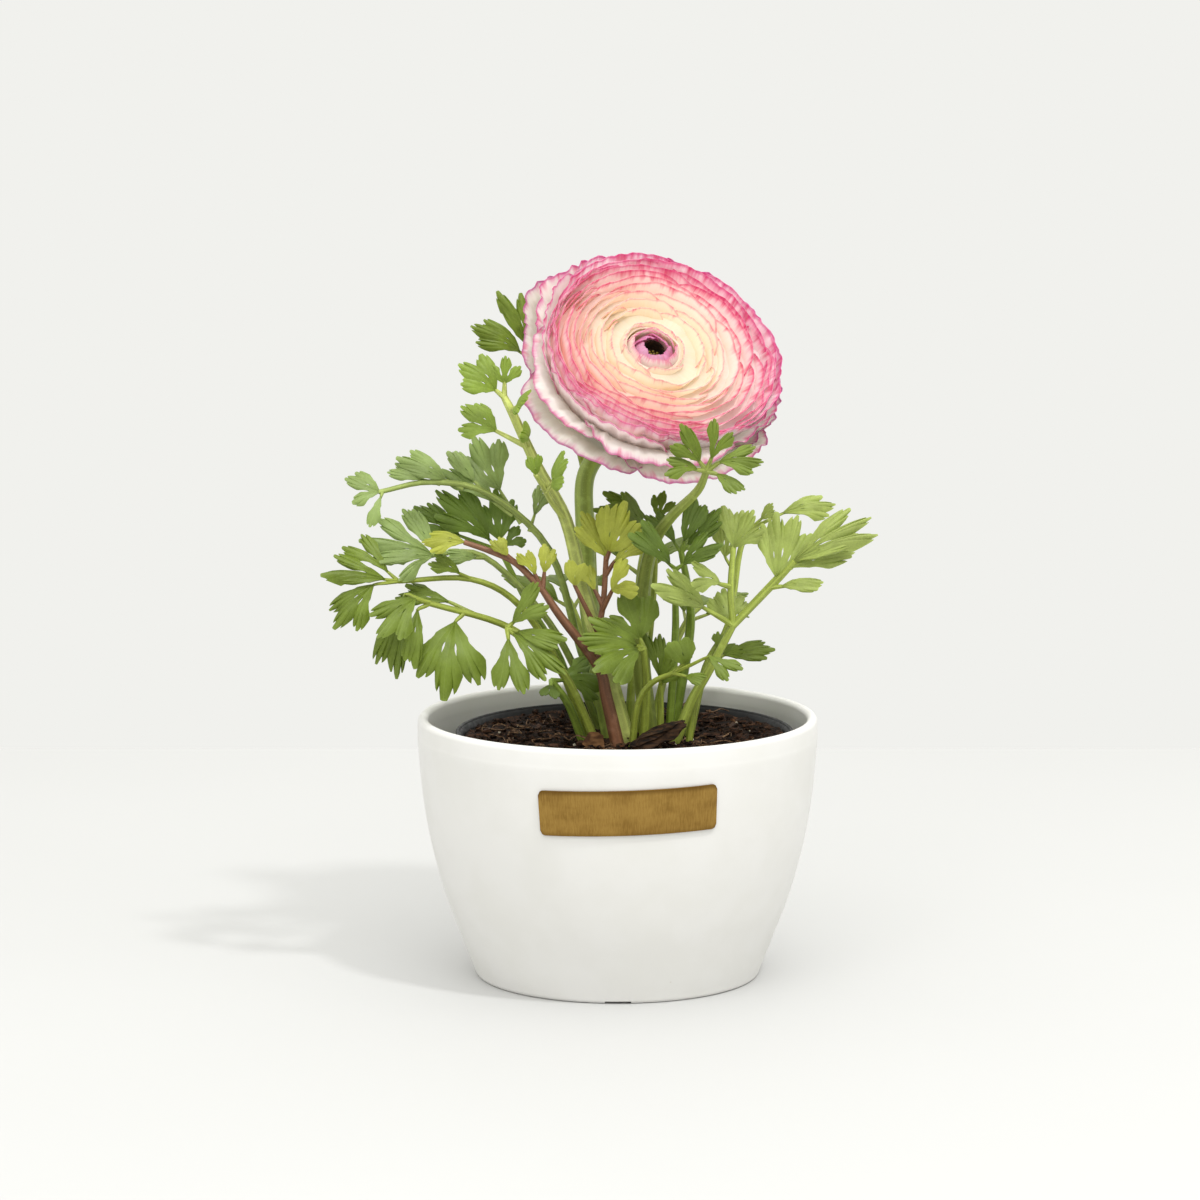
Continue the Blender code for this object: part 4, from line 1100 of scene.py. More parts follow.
def grains(random, count):
    """Rounded grains of perlite."""
    ball = prototype(
        primitive(bpy.ops.mesh.primitive_ico_sphere_add, subdivisions=1, radius=0.5),
        lambda co: co * (1 + 0.3 * noise.noise(co * 4)),
    )
    reach = LITTER_REACH - 1
    return [(*ball, set_down(random, reach, random.uniform(0.4, 1.3))) for _ in range(count)]


def bark_piece(wear):
    """A weathered chip: a finely cut cube, its ends drawn in and its sides torn along the grain."""
    centre, size, turn, lean = BARK_CHIP
    obj = primitive(bpy.ops.mesh.primitive_cube_add, size=1)
    bpy.ops.object.mode_set(mode="EDIT")
    bpy.ops.mesh.subdivide(number_cuts=11)
    bpy.ops.object.mode_set(mode="OBJECT")
    obj.name = obj.data.name = "bark_piece"
    spin = Matrix.Rotation(turn, 3, "Z") @ Matrix.Rotation(lean, 3, "Y")
    for vert in obj.data.vertices:
        x, y, z = vert.co
        ends = 1 - 0.45 * fade(abs(x), 0.28, 0.5)
        point = Vector((x * size[0], y * size[1] * ends, z * size[2] * ends))
        grain = Vector((point.x * 0.25, point.y, point.z))
        torn, frayed = rough(grain, 1.6, 4), rough(grain, 0.7, 9)
        point += wear * Vector((0.4, 1, 1)) * torn + Vector((0, 0.5, 0.5)) * wear * frayed
        if abs(x) > 0.49:
            point.x += 2.2 * wear * rough((y * 9, z * 9, x), 1.2, 2)
        vert.co = spin @ point
    lowest = min(vert.co.z for vert in obj.data.vertices)
    for vert in obj.data.vertices:
        vert.co = MM * (vert.co + Vector((centre[0], centre[1], SOIL_TOP - 0.6 - lowest)))
    return smooth(obj, 35)


def papery_scrap():
    """A dry curled leaf base lying in front of the stalks."""
    centre, size, turn, lean = DRY_SCRAP

    def place(u, v):
        x, y = size[0] * (u - 0.5), size[2] * (v - 0.5)
        curl = 0.9 * (4 * (u - 0.5) ** 2) + 0.5 * rough((x, y, 0), 3, 6)
        point = Vector((x * (1 - 0.4 * v), curl - 0.5, y * (1 - 0.25 * abs(2 * u - 1) ** 3)))
        point = Matrix.Rotation(turn, 3, "Z") @ Matrix.Rotation(lean, 3, "Y") @ point
        return point + Vector((centre[0], centre[1], SOIL_TOP + size[2] / 2 + 0.2))

    return smooth(thicken(sheet("papery_scrap", 16, 12, place), 0.5))


# Bloom.


def bloom_frame():
    """Two directions across the bloom's axis: the one nearest the front, and the one to its right."""
    near = (FRONT - FRONT.dot(AXIS) * AXIS).normalized()
    return near, AXIS.cross(near)


NEAR, RIGHT = bloom_frame()


def on_bloom(radius, turn, height):
    """The point at this distance from the bloom's axis, turned from its near side, and up the axis."""
    return CALYX + AXIS * height + radius * (cos(turn) * NEAR + sin(turn) * RIGHT)


def nearness(turn, left=0.25):
    """1 on the bloom's near side, this far to the left, and 0 on its far side."""
    return (1 + cos(turn + left)) / 2


def painted_glow_share(turn):
    """How much of the painted coral glow shows, standing for light through the petals in the shaded gaps:
    most on the near left.
    """
    return fade(nearness(turn, 0.7), 0.45, 0.95)


def petal_path(out, t, turn):
    """(radius, height) of a petal's middle surface. t runs from its base to its tip."""
    for low, high in zip(PETAL_SHAPES, PETAL_SHAPES[1:]):
        if out <= high[0]:
            break
    share = (out - low[0]) / (high[0] - low[0])
    near = fade(nearness(turn, 0.85 - 0.6 * fade(out, 0.9, 1.1)), 0.15, 0.85)
    base_height = BASE_HIGH - BASE_FALL * out
    path = [(CONE_FOOT - CONE_TAPER * base_height + 1.5, base_height)]
    for k in range(3):
        path.append([
            (low[1][k][i] * (1 - share) + high[1][k][i] * share) * near
            + (low[2][k][i] * (1 - share) + high[2][k][i] * share) * (1 - near)
            for i in (0, 1)
        ])
    weights = ((1 - t) ** 3, 3 * t * (1 - t) ** 2, 3 * t * t * (1 - t), t**3)
    radius, height = (sum(w * p[k] for w, p in zip(weights, path)) for k in (0, 1))
    drawn_in = 0.1 * fade(out, 1, 1.2) * fade(cos(turn + 1.35), 0.85, 1)
    lobes = 0.05 * fade(out, 1.2, 1.3) * fade(t, 0.7, 1) * fade(cos(turn + 1.87), 0.95, 1)
    return radius * (1 - drawn_in + lobes), height


Petal = namedtuple("Petal", "out middle half_turn tuck reach ruffle seed")


def petal(name, spec, columns, rows):
    """One petal, tucked inside its left neighbour and over its right one."""

    def place(u, v):
        across = 1 - 2 * u
        nicks = noise.noise(Vector((across * 11, spec.seed, 0.3)))
        ragged = (0.01 + 0.014 * fade(spec.out, 0.8, 1.1)) * nicks
        ragged += 0.025 * noise.noise(Vector((across * 3, spec.seed, 7.1)))
        t = v * (spec.reach - 0.03 * across**2 - 0.2 * across**6 + ragged * fade(v, 0.6, 1))
        breadth = (0.55 + 0.45 * min(1, 2 * v)) * (1 - 0.05 * fade(v, 0.85, 1))
        turn = spec.middle + across * spec.half_turn * breadth
        radius, height = petal_path(spec.out, t, turn)
        ahead = petal_path(spec.out, t + 0.01, turn)
        slope = Vector((ahead[1] - height, radius - ahead[0])).normalized()
        frill = 0.7 + 0.7 * fade(spec.out, 0.9, 1.2)
        wave = noise.noise(Vector((across * 5, v * 1.2, spec.seed)))
        wave += frill * noise.noise(Vector((across * 13, v * 2.5, spec.seed + 9)))
        push = spec.tuck * across + 1.5 * spec.ruffle * wave * fade(v, 0.6, 1.0)
        push += 0.5 * noise.noise(Vector((across * 2, v * 3, spec.seed + 3))) * fade(v, 0.2, 0.7)
        return on_bloom(radius + push * slope.x, turn, height + push * slope.y)

    obj = thicken(sheet(name, columns, rows, place), PETAL_THIN, 1)
    rosy = 1 - 0.35 * nearness(spec.middle)
    # Each petal carries its share of the painted coral glow, most on the near left.
    return mark(obj, layer=spec.out, petal_seed=spec.seed, warm=painted_glow_share(spec.middle), rosy=rosy)


def whorl_petals(name, outs, random):
    """The petals of one layer or of two neighbouring ones, as one piece."""
    petals = []
    for out in outs:
        start = random.uniform(0, 2 * pi)
        for i in range(PETALS_PER_RING):
            middle = start + 2 * pi * i / PETALS_PER_RING + random.uniform(-0.12, 0.12)
            spec = Petal(
                out=max(0, out + random.uniform(-0.01, 0.01)),
                middle=middle,
                half_turn=random.uniform(1.45, 1.75) * pi / PETALS_PER_RING,
                tuck=0.6 + 0.5 * min(1, out),
                reach=random.uniform(0.965, 1.01),
                ruffle=0.15 + 0.25 * out,
                seed=random.uniform(0, 50),
            )
            petals.append(petal(name, spec, 30, 18))
    return smooth(joined(name, petals))


def outer_petal(name, ring, out, number, random, ruffle):
    """One outer petal and, but for the outmost ring, a smaller one just inside it."""
    petals = []
    for inside, columns, rows in ((0, 64, 26), (1, 48, 22))[: 1 if ring == 2 else 2]:
        middle = 2 * pi * (number + 0.45 * inside) / PETALS_PER_RING + 0.42 * ring
        spec = Petal(
            out=out - 0.08 * inside,
            middle=middle,
            half_turn=1.3 * pi / PETALS_PER_RING,
            tuck=0.75,
            reach=random.uniform(0.97, 1.01),
            ruffle=ruffle * (0.8 + 0.2 * ring) * random.uniform(0.8, 1.2),
            seed=random.uniform(0, 50),
        )
        petals.append(petal(name, spec, columns, rows))
    return smooth(joined(name, petals))


def packed_petals():
    """The close-packed petals between the cups, as one wavy sheet a little below their rims."""
    columns, rows = 96, 24

    def layer_at(v):
        return PACKED_FROM + (PACKED_TO - PACKED_FROM) * v

    def place(u, v):
        turn = 2 * pi * u
        radius, height = petal_path(layer_at(v), PACKED_LEVEL, turn)
        spot = on_bloom(radius, turn, height)
        return on_bloom(radius, turn, height + 1.2 * noise.noise(0.12 * spot))

    obj = sheet("packed_petals", columns, rows, place)
    spots = [(i / columns, j / rows) for j in range(rows + 1) for i in range(columns + 1)]
    mark(obj, petal_seed=5, rosy=0.0, layer=[layer_at(v) for _, v in spots])
    # The painted coral glow: a little on every packed petal, most on the near left.
    mark(obj, warm=[0.1 + 0.9 * painted_glow_share(2 * pi * u) for u, _ in spots])
    return smooth(thicken(weld(obj, face_out=False), 0.3))


def bloom_heart(random):
    """The receptacle with the dark cup at its top, and the boss of carpels in the cup."""
    top, waist = HEART_TOP, 15
    profile = (
        (0, 0), (CONE_FOOT, 0), (CONE_FOOT - CONE_TAPER * waist, waist), (3, 24), (EYE_RADIUS, 32),
        (EYE_RADIUS, top - 2), (3.7, top), (3.3, top - 0.6), (3.1, top - 4), (0, top - 5),
    )
    rings = smooth_profile(profile, 3)

    def place(u, v):
        radius, height = rings[round(v * (len(rings) - 1))]
        return on_bloom(max(0, radius), 2 * pi * u, height)

    heart = weld(sheet("bloom_heart", 28, len(rings) - 1, place))
    add_ball = bpy.ops.mesh.primitive_ico_sphere_add
    beads = []
    for i in range(CARPELS):
        radius = 2.9 * ((i + 0.5) / CARPELS) ** 0.5
        spot = on_bloom(radius, 2.4 * i, top - 4.8 + 0.1 * radius**2)
        bead = primitive(add_ball, subdivisions=2, radius=random.uniform(0.35, 0.6) * MM)
        bead.data.transform(Matrix.Translation(spot * MM))
        beads.append(bead)
    return heart, joined("carpels", beads)


def flower_stem():
    """The bloom's stalk, with the swollen joint near its top."""

    def radius(share):
        joint = max(0, 1 - abs(share - 0.72) / 0.035)
        return 3.6 - 0.6 * share + 0.55 * joint**2 + 0.4 * fade(share, 0.93, 1.0)

    return smooth(weld(tube("flower_stalk", FLOWER_STEM, radius, 20, 14, True, 0.015)), 50)


def calyx_cup():
    """The disc under the petals and its five turned-back sepals."""
    edge = ((0, -0.1), (4, -0.1), (6.2, -0.3), (6.4, -1.2), (5, -2.4), (2, -2.6), (0, -2.6))
    profile = smooth_profile(edge, 3)

    def ring(u, v):
        radius, height = profile[round(v * (len(profile) - 1))]
        return on_bloom(max(0, radius), 2 * pi * u, height)

    disc = weld(sheet("calyx_disc", 24, len(profile) - 1, ring))
    pieces = [disc]
    for i in range(5):
        middle = 2 * pi * (i + 0.3) / 5

        def place(u, v, middle=middle):
            across = 2 * u - 1
            half = 3.4 * sin(pi * min(1, 0.25 + 0.75 * v)) ** 0.7 * (1 - 0.15 * v) + 0.2
            radius = 4.5 + 10.5 * v
            height = -1.7 - 4.6 * v**1.4 + 0.7 * across**2
            return on_bloom(radius, middle + across * half / radius, height)

        pieces.append(thicken(sheet("sepal", 8, 10, place), 0.6))
    return smooth(joined("calyx_cup", pieces))


# Leaves.


def heading(aim, toward):
    """The direction of a blade or a stalk, from its two angles in degrees."""
    aim, toward = radians(aim), radians(toward)
    return Vector((cos(aim) * cos(toward), -sin(toward), sin(aim) * cos(toward)))


def along(route, share):
    """The point at this share of a route's length."""
    left = share * sum((b - a).length for a, b in zip(route, route[1:]))
    for a, b in zip(route, route[1:]):
        length = (b - a).length
        if left <= length:
            return a.lerp(b, left / length)
        left -= length
    return route[-1]


def lobe_tips(base, spec, facing):
    """The tips of a blade's lobes, fanned out round its own direction. The outer lobes are shorter."""
    ahead = heading(spec.aim, spec.toward)
    face = (Vector(facing) - ahead.dot(Vector(facing)) * ahead).normalized()
    side = face.cross(ahead)
    tips = []
    for i in range(spec.lobes):
        across = 2 * i / (spec.lobes - 1) - 1 if spec.lobes > 2 else (0.6, -1)[i]
        turn = radians(spec.spread / 2 * across)
        reach = spec.reach * (1 - 0.16 * across**2)
        tips.append(base + reach * (cos(turn) * ahead + sin(turn) * side))
    return tips


def lobe(base, ray, side, up, half, waist, size, seed, random):
    """One wedge lobe, toothed at its end. waist holds its two side points where the clefts end."""
    reach = ray.length
    ahead = ray.normalized()
    columns, rows, rows_below = (16, 12, 5) if size > 12 else (12, 8, 3)
    low = rows_below / rows  # the share of the rows that lies below the clefts' end
    notch_at = random.uniform(0.3, 0.5)
    depth = random.uniform(0.08, 0.16)
    lean = random.uniform(-0.2, 0.2)
    curve = random.uniform(-0.12, 0.12)
    middle = base + CLEFT * ray

    def place(u, v):
        s = 2 * u - 1
        edge = abs(s)
        notch = fade(1 - abs(edge - notch_at) / 0.2, 0, 1)
        end = 1.05 - 0.14 * edge**2 - 0.2 * edge**4 - depth * notch
        end_point = base + reach * end * ahead + half * (s + lean * (1 - s * s)) * side
        at_waist = middle + (waist[1] - middle) * s if s > 0 else middle - (waist[0] - middle) * s
        if v <= low + 1e-6:
            point = base.lerp(at_waist, v / low)
        else:
            q = (v - low) / (1 - low)
            point = at_waist.lerp(end_point, q)
            bite = max(0, 1 - abs(q - 0.6) / 0.15) * fade(edge, 0.7, 1)
            waisted = 0.3 * sin(pi * q) * (1 - q) - 0.2 * sin(pi * q) * q
            point = point - half * s * (waisted + 0.07 * bite) * side
            point = point + curve * reach * q * q * side
        arch = 0.1 * size * 4 * v * (1 - v)
        fold = 0.015 * size * edge * sin(pi * min(1, 0.2 + 0.8 * v))
        sway = 0.09 * size * v * rough(point, 13, seed)
        flutter = 0.02 * size * edge * v * rough(point, 6, seed + 3)
        return point + (arch + fold + sway + flutter) * up

    return mark(sheet("lobe", columns, rows, place), shade=random.random())


def blade(base, tips, width, facing, seed, random):
    """The lobes of a blade, sharing their edges as far as the clefts."""
    reach = [Vector(t) - base for t in tips]
    facing = Vector(facing)
    if len(reach) > 1:
        spread = sum((a.cross(b) for a, b in zip(reach, reach[1:])), Vector())
        if spread.length > 1:
            facing = spread.normalized() * (1 if spread.dot(facing) > 0 else -1)
    middle = sum((r.normalized() for r in reach), Vector()).normalized()
    facing = (facing - facing.dot(middle) * middle).normalized()
    reach.sort(key=lambda r: -atan2(facing.dot(middle.cross(r)), middle.dot(r)))
    halves, waists = [], []
    for i, ray in enumerate(reach):
        side = ray.normalized().cross(facing)
        near = [reach[j] for j in (i - 1, i + 1) if 0 <= j < len(reach)]
        room = min([SHOULDER * (ray - n).length for n in near] or [width * 2])
        half = min(WIDEST * width, ROOM_SHARE * room)
        halves.append(half)
        waists.append([base + CLEFT * ray + way * WAIST_SHARE * half * side for way in (-1, 1)])
    for a, b in zip(waists, waists[1:]):
        a[1] = b[0] = (a[1] + b[0]) / 2
    lobes = []
    size = max(ray.length for ray in reach)
    for ray, half, waist in zip(reach, halves, waists):
        side = ray.normalized().cross(facing)
        lobes.append(lobe(base, ray, side, facing, half, waist, size, seed, random))
    return lobes


def leaf(spec, looks, random, thickness):
    """A whole leaf: petiole, branches and stalks as tubes, and its toothed blades."""
    stalks, lobes = [], []
    trunk = None
    for number, (points, blades) in enumerate(spec.routes):
        if trunk:
            # A branch starts at the trunk's nearest point.
            points = [min(trunk, key=lambda p: (p - Vector(points[0])).length), *points[1:]]
            route = smooth_route(points, 1)
            thick, thin = 0.95 * spec.thin, 0.7 * spec.thin
        else:
            route = smooth_route(points, 2 if len(points) < 6 else 1)
            trunk = smooth_route(points, 8)
            thick, thin = spec.thick, 0.85 * spec.thin
        sides = 14 if spec.thick > 2.5 else 9
        stalks.append(
            tube("stalk", points, lambda t, a=thick, b=thin: a + (b - a) * t, sides, 5, number == 0, 0.05)
        )
        for blade_spec in blades:
            start = along(route, blade_spec.at)
            base = start + blade_spec.stalk * heading(blade_spec.aim + blade_spec.turn, blade_spec.toward)
            ahead = heading(blade_spec.aim, blade_spec.toward)
            tips = lobe_tips(base, blade_spec, spec.facing)
            if blade_spec.stalk > 1:
                knee = (start + base) / 2
                ends = (start, knee, base, base + 0.16 * blade_spec.reach * ahead)
                stalks.append(
                    tube("stalk", ends, lambda t, a=0.8 * spec.thin: a * (1 - STALK_TAPER * t), 7, 3)
                )
            width = spec.broad * blade_spec.reach
            lobes += blade(base - LAP / 2 * ahead, tips, width, spec.facing, random.uniform(0, 40), random)
    for stalk in stalks:
        mark(paint(stalk, *looks), shade=0.0)
        stalk.data.polygons.foreach_set("material_index", [2] * len(stalk.data.polygons))
    for part in lobes:
        paint(part, *looks)
    blades = thicken(weld(joined("blades", lobes), 0.02, face_out=False), thickness, 1)
    return smooth(joined(spec.name + "_fine", [blades, weld(joined("stalks", stalks), 0.002)]), 50)


# Studio.


def floor(tone):
    """A wide floor that ends behind the pot, faintly mottled."""
    look = Look("studio_floor", Roughness=0.7)
    dim = tuple(0.985 * c for c in tone)
    look.base(look.mix(look.step(look.grain(400, 2), 0.4, 0.6), tone, dim))

    def place(u, v):
        return FLOOR_WIDTH * (u - 0.5), FLOOR_BACK - FLOOR_DEPTH * (1 - v), -0.1

    return paint(sheet("studio_floor", 6, 6, place), look.material)


def room(tone, sides, ceiling):
    """A world of one colour that is brighter overhead than at its sides."""
    world = bpy.data.worlds.new("studio_room")
    world.use_nodes = True
    nodes, links = world.node_tree.nodes, world.node_tree.links
    light = nodes["Background"]
    light.inputs["Color"].default_value = (*tone, 1)
    spot, split = nodes.new("ShaderNodeTexCoord"), nodes.new("ShaderNodeSeparateXYZ")
    rise = nodes.new("ShaderNodeMapRange")
    for socket, value in zip(rise.inputs[1:5], (0.3, 0.6, sides, ceiling)):
        socket.default_value = value
    links.new(spot.outputs["Generated"], split.inputs[0])
    links.new(split.outputs["Z"], rise.inputs[0])
    links.new(rise.outputs[0], light.inputs["Strength"])
    return world


def lamp(name, spec, watts):
    """A square light at its place, turned to what it aims at."""
    place, aim = (Vector(point) * MM for point in spec[:2])
    bpy.ops.object.light_add(type="AREA", location=place)
    obj = bpy.context.object
    obj.name = name
    obj.data.size = spec[2] * MM
    obj.data.energy = watts
    obj.rotation_euler = (aim - place).to_track_quat("-Z", "Y").to_euler()


def camera(lens):
    """The camera in front of the pot, looking a little down."""
    place = tuple(MM * c for c in CAMERA_PLACE)
    bpy.ops.object.camera_add(location=place, rotation=(radians(90) - CAMERA_DIP, 0, 0))
    obj = bpy.context.object
    obj.data.lens = lens
    obj.data.clip_end = 50
    return obj


# What a user would change.


def tint_property(name, description, digits):
    """A colour property with this default."""
    return FloatVectorProperty(name=name, description=description, subtype="COLOR", default=colour(digits))


def length_property(name, description, default):
    """A length property, its default in millimetres."""
    return FloatProperty(name=name, description=description, unit="LENGTH", default=default * MM)


def power_property(name, description, default):
    """A light's power, its default in watts."""
    return FloatProperty(name=name, description=description, unit="POWER", default=default)


class CachepotSettings(bpy.types.PropertyGroup):
    steps: IntProperty(name="Steps", description="Faces round the cachepot", default=160, min=24)
    wall_colour: tint_property("Glaze", "Main colour of the glaze", "dddcd9")
    shade_colour: tint_property("Mottle", "Second colour of the glaze", "dad9d5")


class PlateSettings(bpy.types.PropertyGroup):
    length: length_property("Length", "Along the wall", PLATE_LENGTH)
    height: length_property("Height", "Up the wall", PLATE_HEIGHT)
    brass_colour: tint_property("Brass", "Colour of the brushed brass", "9c7b3e")
    tarnish_colour: tint_property("Tarnish", "Colour where it has darkened", "84642e")


class SoilSettings(bpy.types.PropertyGroup):
    crumbs: IntProperty(name="Crumbs", description="Loose lumps on the mix", default=900, min=0)
    fibres: IntProperty(name="Fibres", description="Loose roots and straws", default=70, min=0)
    chips: IntProperty(name="Chips", description="Flat bits of bark", default=70, min=0)
    perlite: IntProperty(name="Perlite", description="White grains", default=60, min=0)
    seed: IntProperty(name="Seed", description="Changes where the litter lies", default=4)
    soil_colour: tint_property("Mix", "Middle brown of the potting mix", "20150e")


class BloomSettings(bpy.types.PropertyGroup):
    ruffle: length_property("Ruffle", "Depth of the waves in the margins", 0.9)
    seed: IntProperty(name="Seed", description="Changes the small differences between petals", default=11)


class LeafSettings(bpy.types.PropertyGroup):
    thickness: length_property("Thickness", "Of a blade", 0.45)
    seed: IntProperty(name="Seed", description="Changes the teeth and waves of the blades", default=7)


class StageSettings(bpy.types.PropertyGroup):
    floor_colour: tint_property("Floor", "Colour of the floor", "c1c1c0")
    room_colour: tint_property("Room", "Colour of the room's light", "fafaf6")
    room_light: FloatProperty(name="Room light", description="Strength at the sides", default=0.92, min=0)
    ceiling_light: FloatProperty(name="Ceiling", description="Its strength overhead", default=1.5, min=0)
    key_light: power_property("Key light", "Strength of the light from the right", 9)
    fill_light: power_property("Fill light", "Strength of the wide light in front", 14)
    lens: FloatProperty(name="Lens", description="Focal length", unit="CAMERA", default=138.95)


# One operator for each piece or group of like pieces.


class RANUNCULUS_OT_cachepot(bpy.types.Operator):
    """Adds the white cachepot"""

    bl_idname = "ranunculus.cachepot"
    bl_label = "Cachepot"

    def execute(self, context):
        settings = context.scene.ranunculus_cachepot
        pot = paint(cachepot(settings.steps), ceramic_look(settings))
        stand_for(pot, "ceramic_white", "outer_pot")
        return {"FINISHED"}


class RANUNCULUS_OT_plate(bpy.types.Operator):
    """Adds the blank brass plate on the cachepot's front"""

    bl_idname = "ranunculus.plate"
    bl_label = "Brass plate"

    def execute(self, context):
        settings = context.scene.ranunculus_plate
        stand_for(paint(plate(settings), brass_look(settings)), "brass", "name_plate")
        return {"FINISHED"}


class RANUNCULUS_OT_nursery_pot(bpy.types.Operator):
    """Adds the black pot that the plant grows in"""

    bl_idname = "ranunculus.nursery_pot"
    bl_label = "Nursery pot"

    def execute(self, context):
        pot = paint(nursery_pot(96), black_plastic_look())
        stand_for(pot, "black_plastic", "grow_pot")
        return {"FINISHED"}


class RANUNCULUS_OT_potting_mix(bpy.types.Operator):
    """Adds the potting mix and what lies on it"""

    bl_idname = "ranunculus.potting_mix"
    bl_label = "Potting mix"

    def execute(self, context):
        settings = context.scene.ranunculus_soil
        random = Random(settings.seed)
        mix = soil_look(settings)
        brown = litter_look("bark_fibre", "1a110b", "54392a", 1.2, 0.3)
        straw = litter_look("dry_root", "35241a", "7d6248", 0.8)
        dark = litter_look("wet_bark", "15100c", "45301f", 1.0, 0.25)
        papery = litter_look("dry_leaf", "4d3320", "8a6440", 2.2, 0.3)
        white = mottled_look("perlite", "cfc6b2", "8a7a62", 0.8, 0.4, 0.6, (0.5, 0.6, 0.3), Roughness=0.9)
        stand_for(paint(potting_mix(180), mix), "soil", "potting_soil")
        perlite = grains(random, settings.perlite)
        litter = (
            ("loose_crumbs", crumbs(random, settings.crumbs), mix, "soil"),
            ("loose_fibres", fibres(random, settings.fibres), straw, "bark"),
            ("loose_chips", chips(random, settings.chips), brown, "bark"),
            ("perlite_grains", perlite, white, "soil"),
        )
        for name, copies, look, slot in litter:
            stand_for(paint(scatter(name, copies), look), slot)
        stand_for(paint(bark_piece(0.9), dark), "bark", "bark_chip")
        stand_for(paint(papery_scrap(), papery), "bark", "dry_leaf_scrap")
        return {"FINISHED"}


class RANUNCULUS_OT_bloom(bpy.types.Operator):
    """Adds the bloom: its heart, six whorls of inner petals and three rings of outer petals"""

    bl_idname = "ranunculus.bloom"
    bl_label = "Bloom"

    def execute(self, context):
        settings = context.scene.ranunculus_bloom
        random = Random(settings.seed)
        inner, outer = petal_look("petal_inside", False), petal_look("petal_back", True)
        for number, out in enumerate(WHORLS, 1):
            layers = (out,) if number == 2 else (out, out + LAYER_STEP)
            piece = whorl_petals(f"inner_petals_{number}", layers, random)
            stand_for(paint(piece, inner, outer), "petal", f"petal_whorl_{number}")
        for ring, (node, out) in enumerate(PETAL_RINGS):
            for number in range(PETALS_PER_RING):
                name = f"{node}_{number + 1}"
                piece = outer_petal(f"{name}_fine", ring, out, number, random, settings.ruffle / MM)
                stand_for(paint(piece, inner, outer), "petal", name)
        stand_for(paint(packed_petals(), inner), "petal")
        dark = mottled_look(
            "dark_heart", "140b07", "33200f", 1.2, 0.35, 0.65, (0.6, 0.5, 0.3),
            Roughness=0.9, Specular_IOR_Level=0.2,
        )
        bead = mottled_look("carpel", "2a1c0e", "9a8428", 2.4, 0.5, 0.6, (0.4, 0.3, 0.1), Roughness=0.3)
        heart, carpels = bloom_heart(random)
        stand_for(paint(smooth(heart), dark, stalk_look("receptacle_skin", "b4bb78")), "eye", "flower_eye")
        for face in heart.data.polygons:
            face.material_index = int((face.center / MM - CALYX).dot(AXIS) < EYE_FOOT)
        stand_for(paint(smooth(carpels), bead), "eye")
        return {"FINISHED"}


class RANUNCULUS_OT_flower_stalk(bpy.types.Operator):
    """Adds the bloom's stalk and the calyx under its petals"""

    bl_idname = "ranunculus.flower_stalk"
    bl_label = "Flower stalk"

    def execute(self, context):
        look = stalk_look("flower_stalk_skin", "a6b952")
        stand_for(paint(flower_stem(), look), "stem_green", "flower_stem")
        look = stalk_look("calyx_skin", "7f8f45")
        stand_for(paint(calyx_cup(), look), "leaf_green", "calyx")
        return {"FINISHED"}


class RANUNCULUS_OT_leaves(bpy.types.Operator):
    """Adds the leaves and the two leafy stems"""

    bl_idname = "ranunculus.leaves"
    bl_label = "Leaves"

    def execute(self, context):
        settings = context.scene.ranunculus_leaves
        looks = {family: leaf_looks(f"leaf_{family}", *tones) for family, tones in LEAF_TONES.items()}
        random = Random(settings.seed)
        for spec in LEAVES:
            slot = "stem_green" if spec.name.endswith("stem") else "leaf_green"
            stand_for(leaf(spec, looks[spec.family], random, settings.thickness / MM), slot, spec.name)
        return {"FINISHED"}


class RANUNCULUS_OT_studio(bpy.types.Operator):
    """Adds the floor, the light and the camera"""

    bl_idname = "ranunculus.studio"
    bl_label = "Studio"

    def execute(self, context):
        settings = context.scene.ranunculus_stage
        floor(settings.floor_colour)
        context.scene.world = room(settings.room_colour, settings.room_light, settings.ceiling_light)
        lamp("key_light", KEY_LAMP, settings.key_light)
        lamp("fill_light", FILL_LAMP, settings.fill_light)
        context.scene.camera = camera(settings.lens)
        cycles = context.scene.cycles
        cycles.max_bounces, cycles.diffuse_bounces, cycles.transmission_bounces = 16, 14, 14
        context.scene.view_settings.view_transform = "Standard"
        return {"FINISHED"}


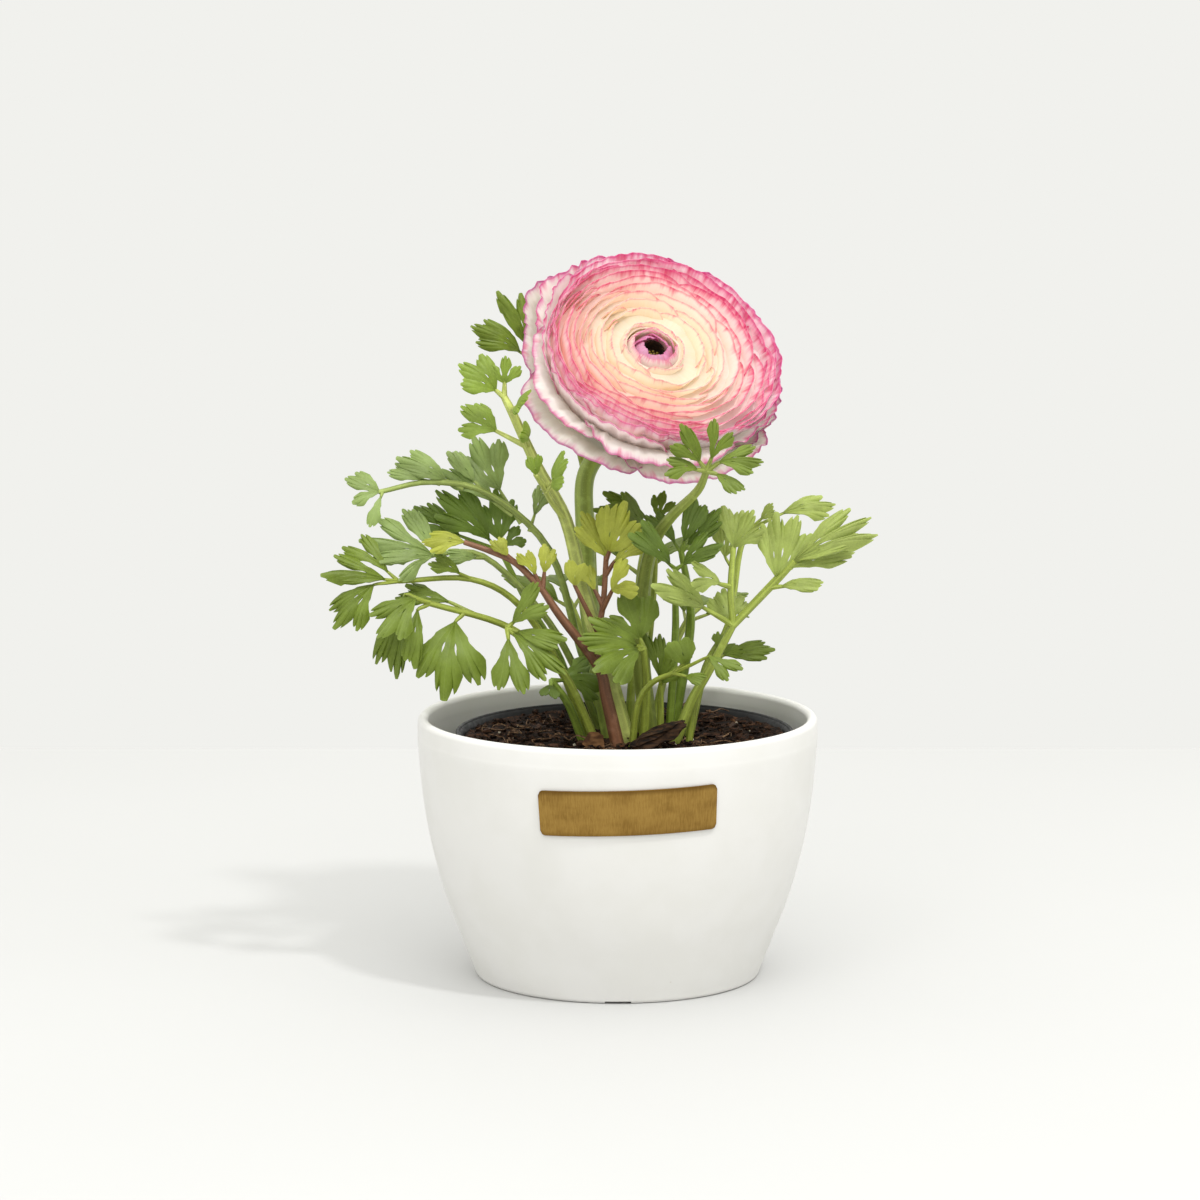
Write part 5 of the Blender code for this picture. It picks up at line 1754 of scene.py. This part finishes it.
class RANUNCULUS_PT_pieces(bpy.types.Panel):
    """The pieces that can be added, with what can be changed in each"""

    bl_idname = "RANUNCULUS_PT_pieces"
    bl_label = "Potted ranunculus"
    bl_space_type = "VIEW_3D"
    bl_region_type = "UI"
    bl_category = "Ranunculus"

    def draw(self, context):
        for name, group in SETTINGS.items():
            box = self.layout.box()
            box.label(text=group.__name__.replace("Settings", ""))
            for field in group.__annotations__:
                box.prop(getattr(context.scene, name), field)
        for operator in OPERATORS:
            self.layout.operator(operator.bl_idname)


SETTINGS = {
    "ranunculus_cachepot": CachepotSettings,
    "ranunculus_plate": PlateSettings,
    "ranunculus_soil": SoilSettings,
    "ranunculus_bloom": BloomSettings,
    "ranunculus_leaves": LeafSettings,
    "ranunculus_stage": StageSettings,
}
OPERATORS = (
    RANUNCULUS_OT_cachepot,
    RANUNCULUS_OT_plate,
    RANUNCULUS_OT_nursery_pot,
    RANUNCULUS_OT_potting_mix,
    RANUNCULUS_OT_bloom,
    RANUNCULUS_OT_flower_stalk,
    RANUNCULUS_OT_leaves,
    RANUNCULUS_OT_studio,
)
CLASSES = (*SETTINGS.values(), *OPERATORS, RANUNCULUS_PT_pieces)


def register():
    for cls in CLASSES:
        bpy.utils.register_class(cls)
    for name, group in SETTINGS.items():
        setattr(bpy.types.Scene, name, PointerProperty(type=group))


def unregister():
    for name in SETTINGS:
        delattr(bpy.types.Scene, name)
    for cls in reversed(CLASSES):
        bpy.utils.unregister_class(cls)


def clear_startup():
    """Removes the startup scene's own objects, and leaves nothing selected."""
    for name in ("Cube", "Light", "Camera"):
        if name in bpy.data.objects:
            bpy.data.objects.remove(bpy.data.objects[name])
    bpy.ops.object.select_all(action="DESELECT")


def main():
    clear_startup()
    register()
    bpy.ops.ranunculus.cachepot()
    bpy.ops.ranunculus.plate()
    bpy.ops.ranunculus.nursery_pot()
    bpy.ops.ranunculus.potting_mix()
    bpy.ops.ranunculus.bloom()
    bpy.ops.ranunculus.flower_stalk()
    bpy.ops.ranunculus.leaves()
    bpy.ops.ranunculus.studio()


if __name__ == "__main__":
    main()
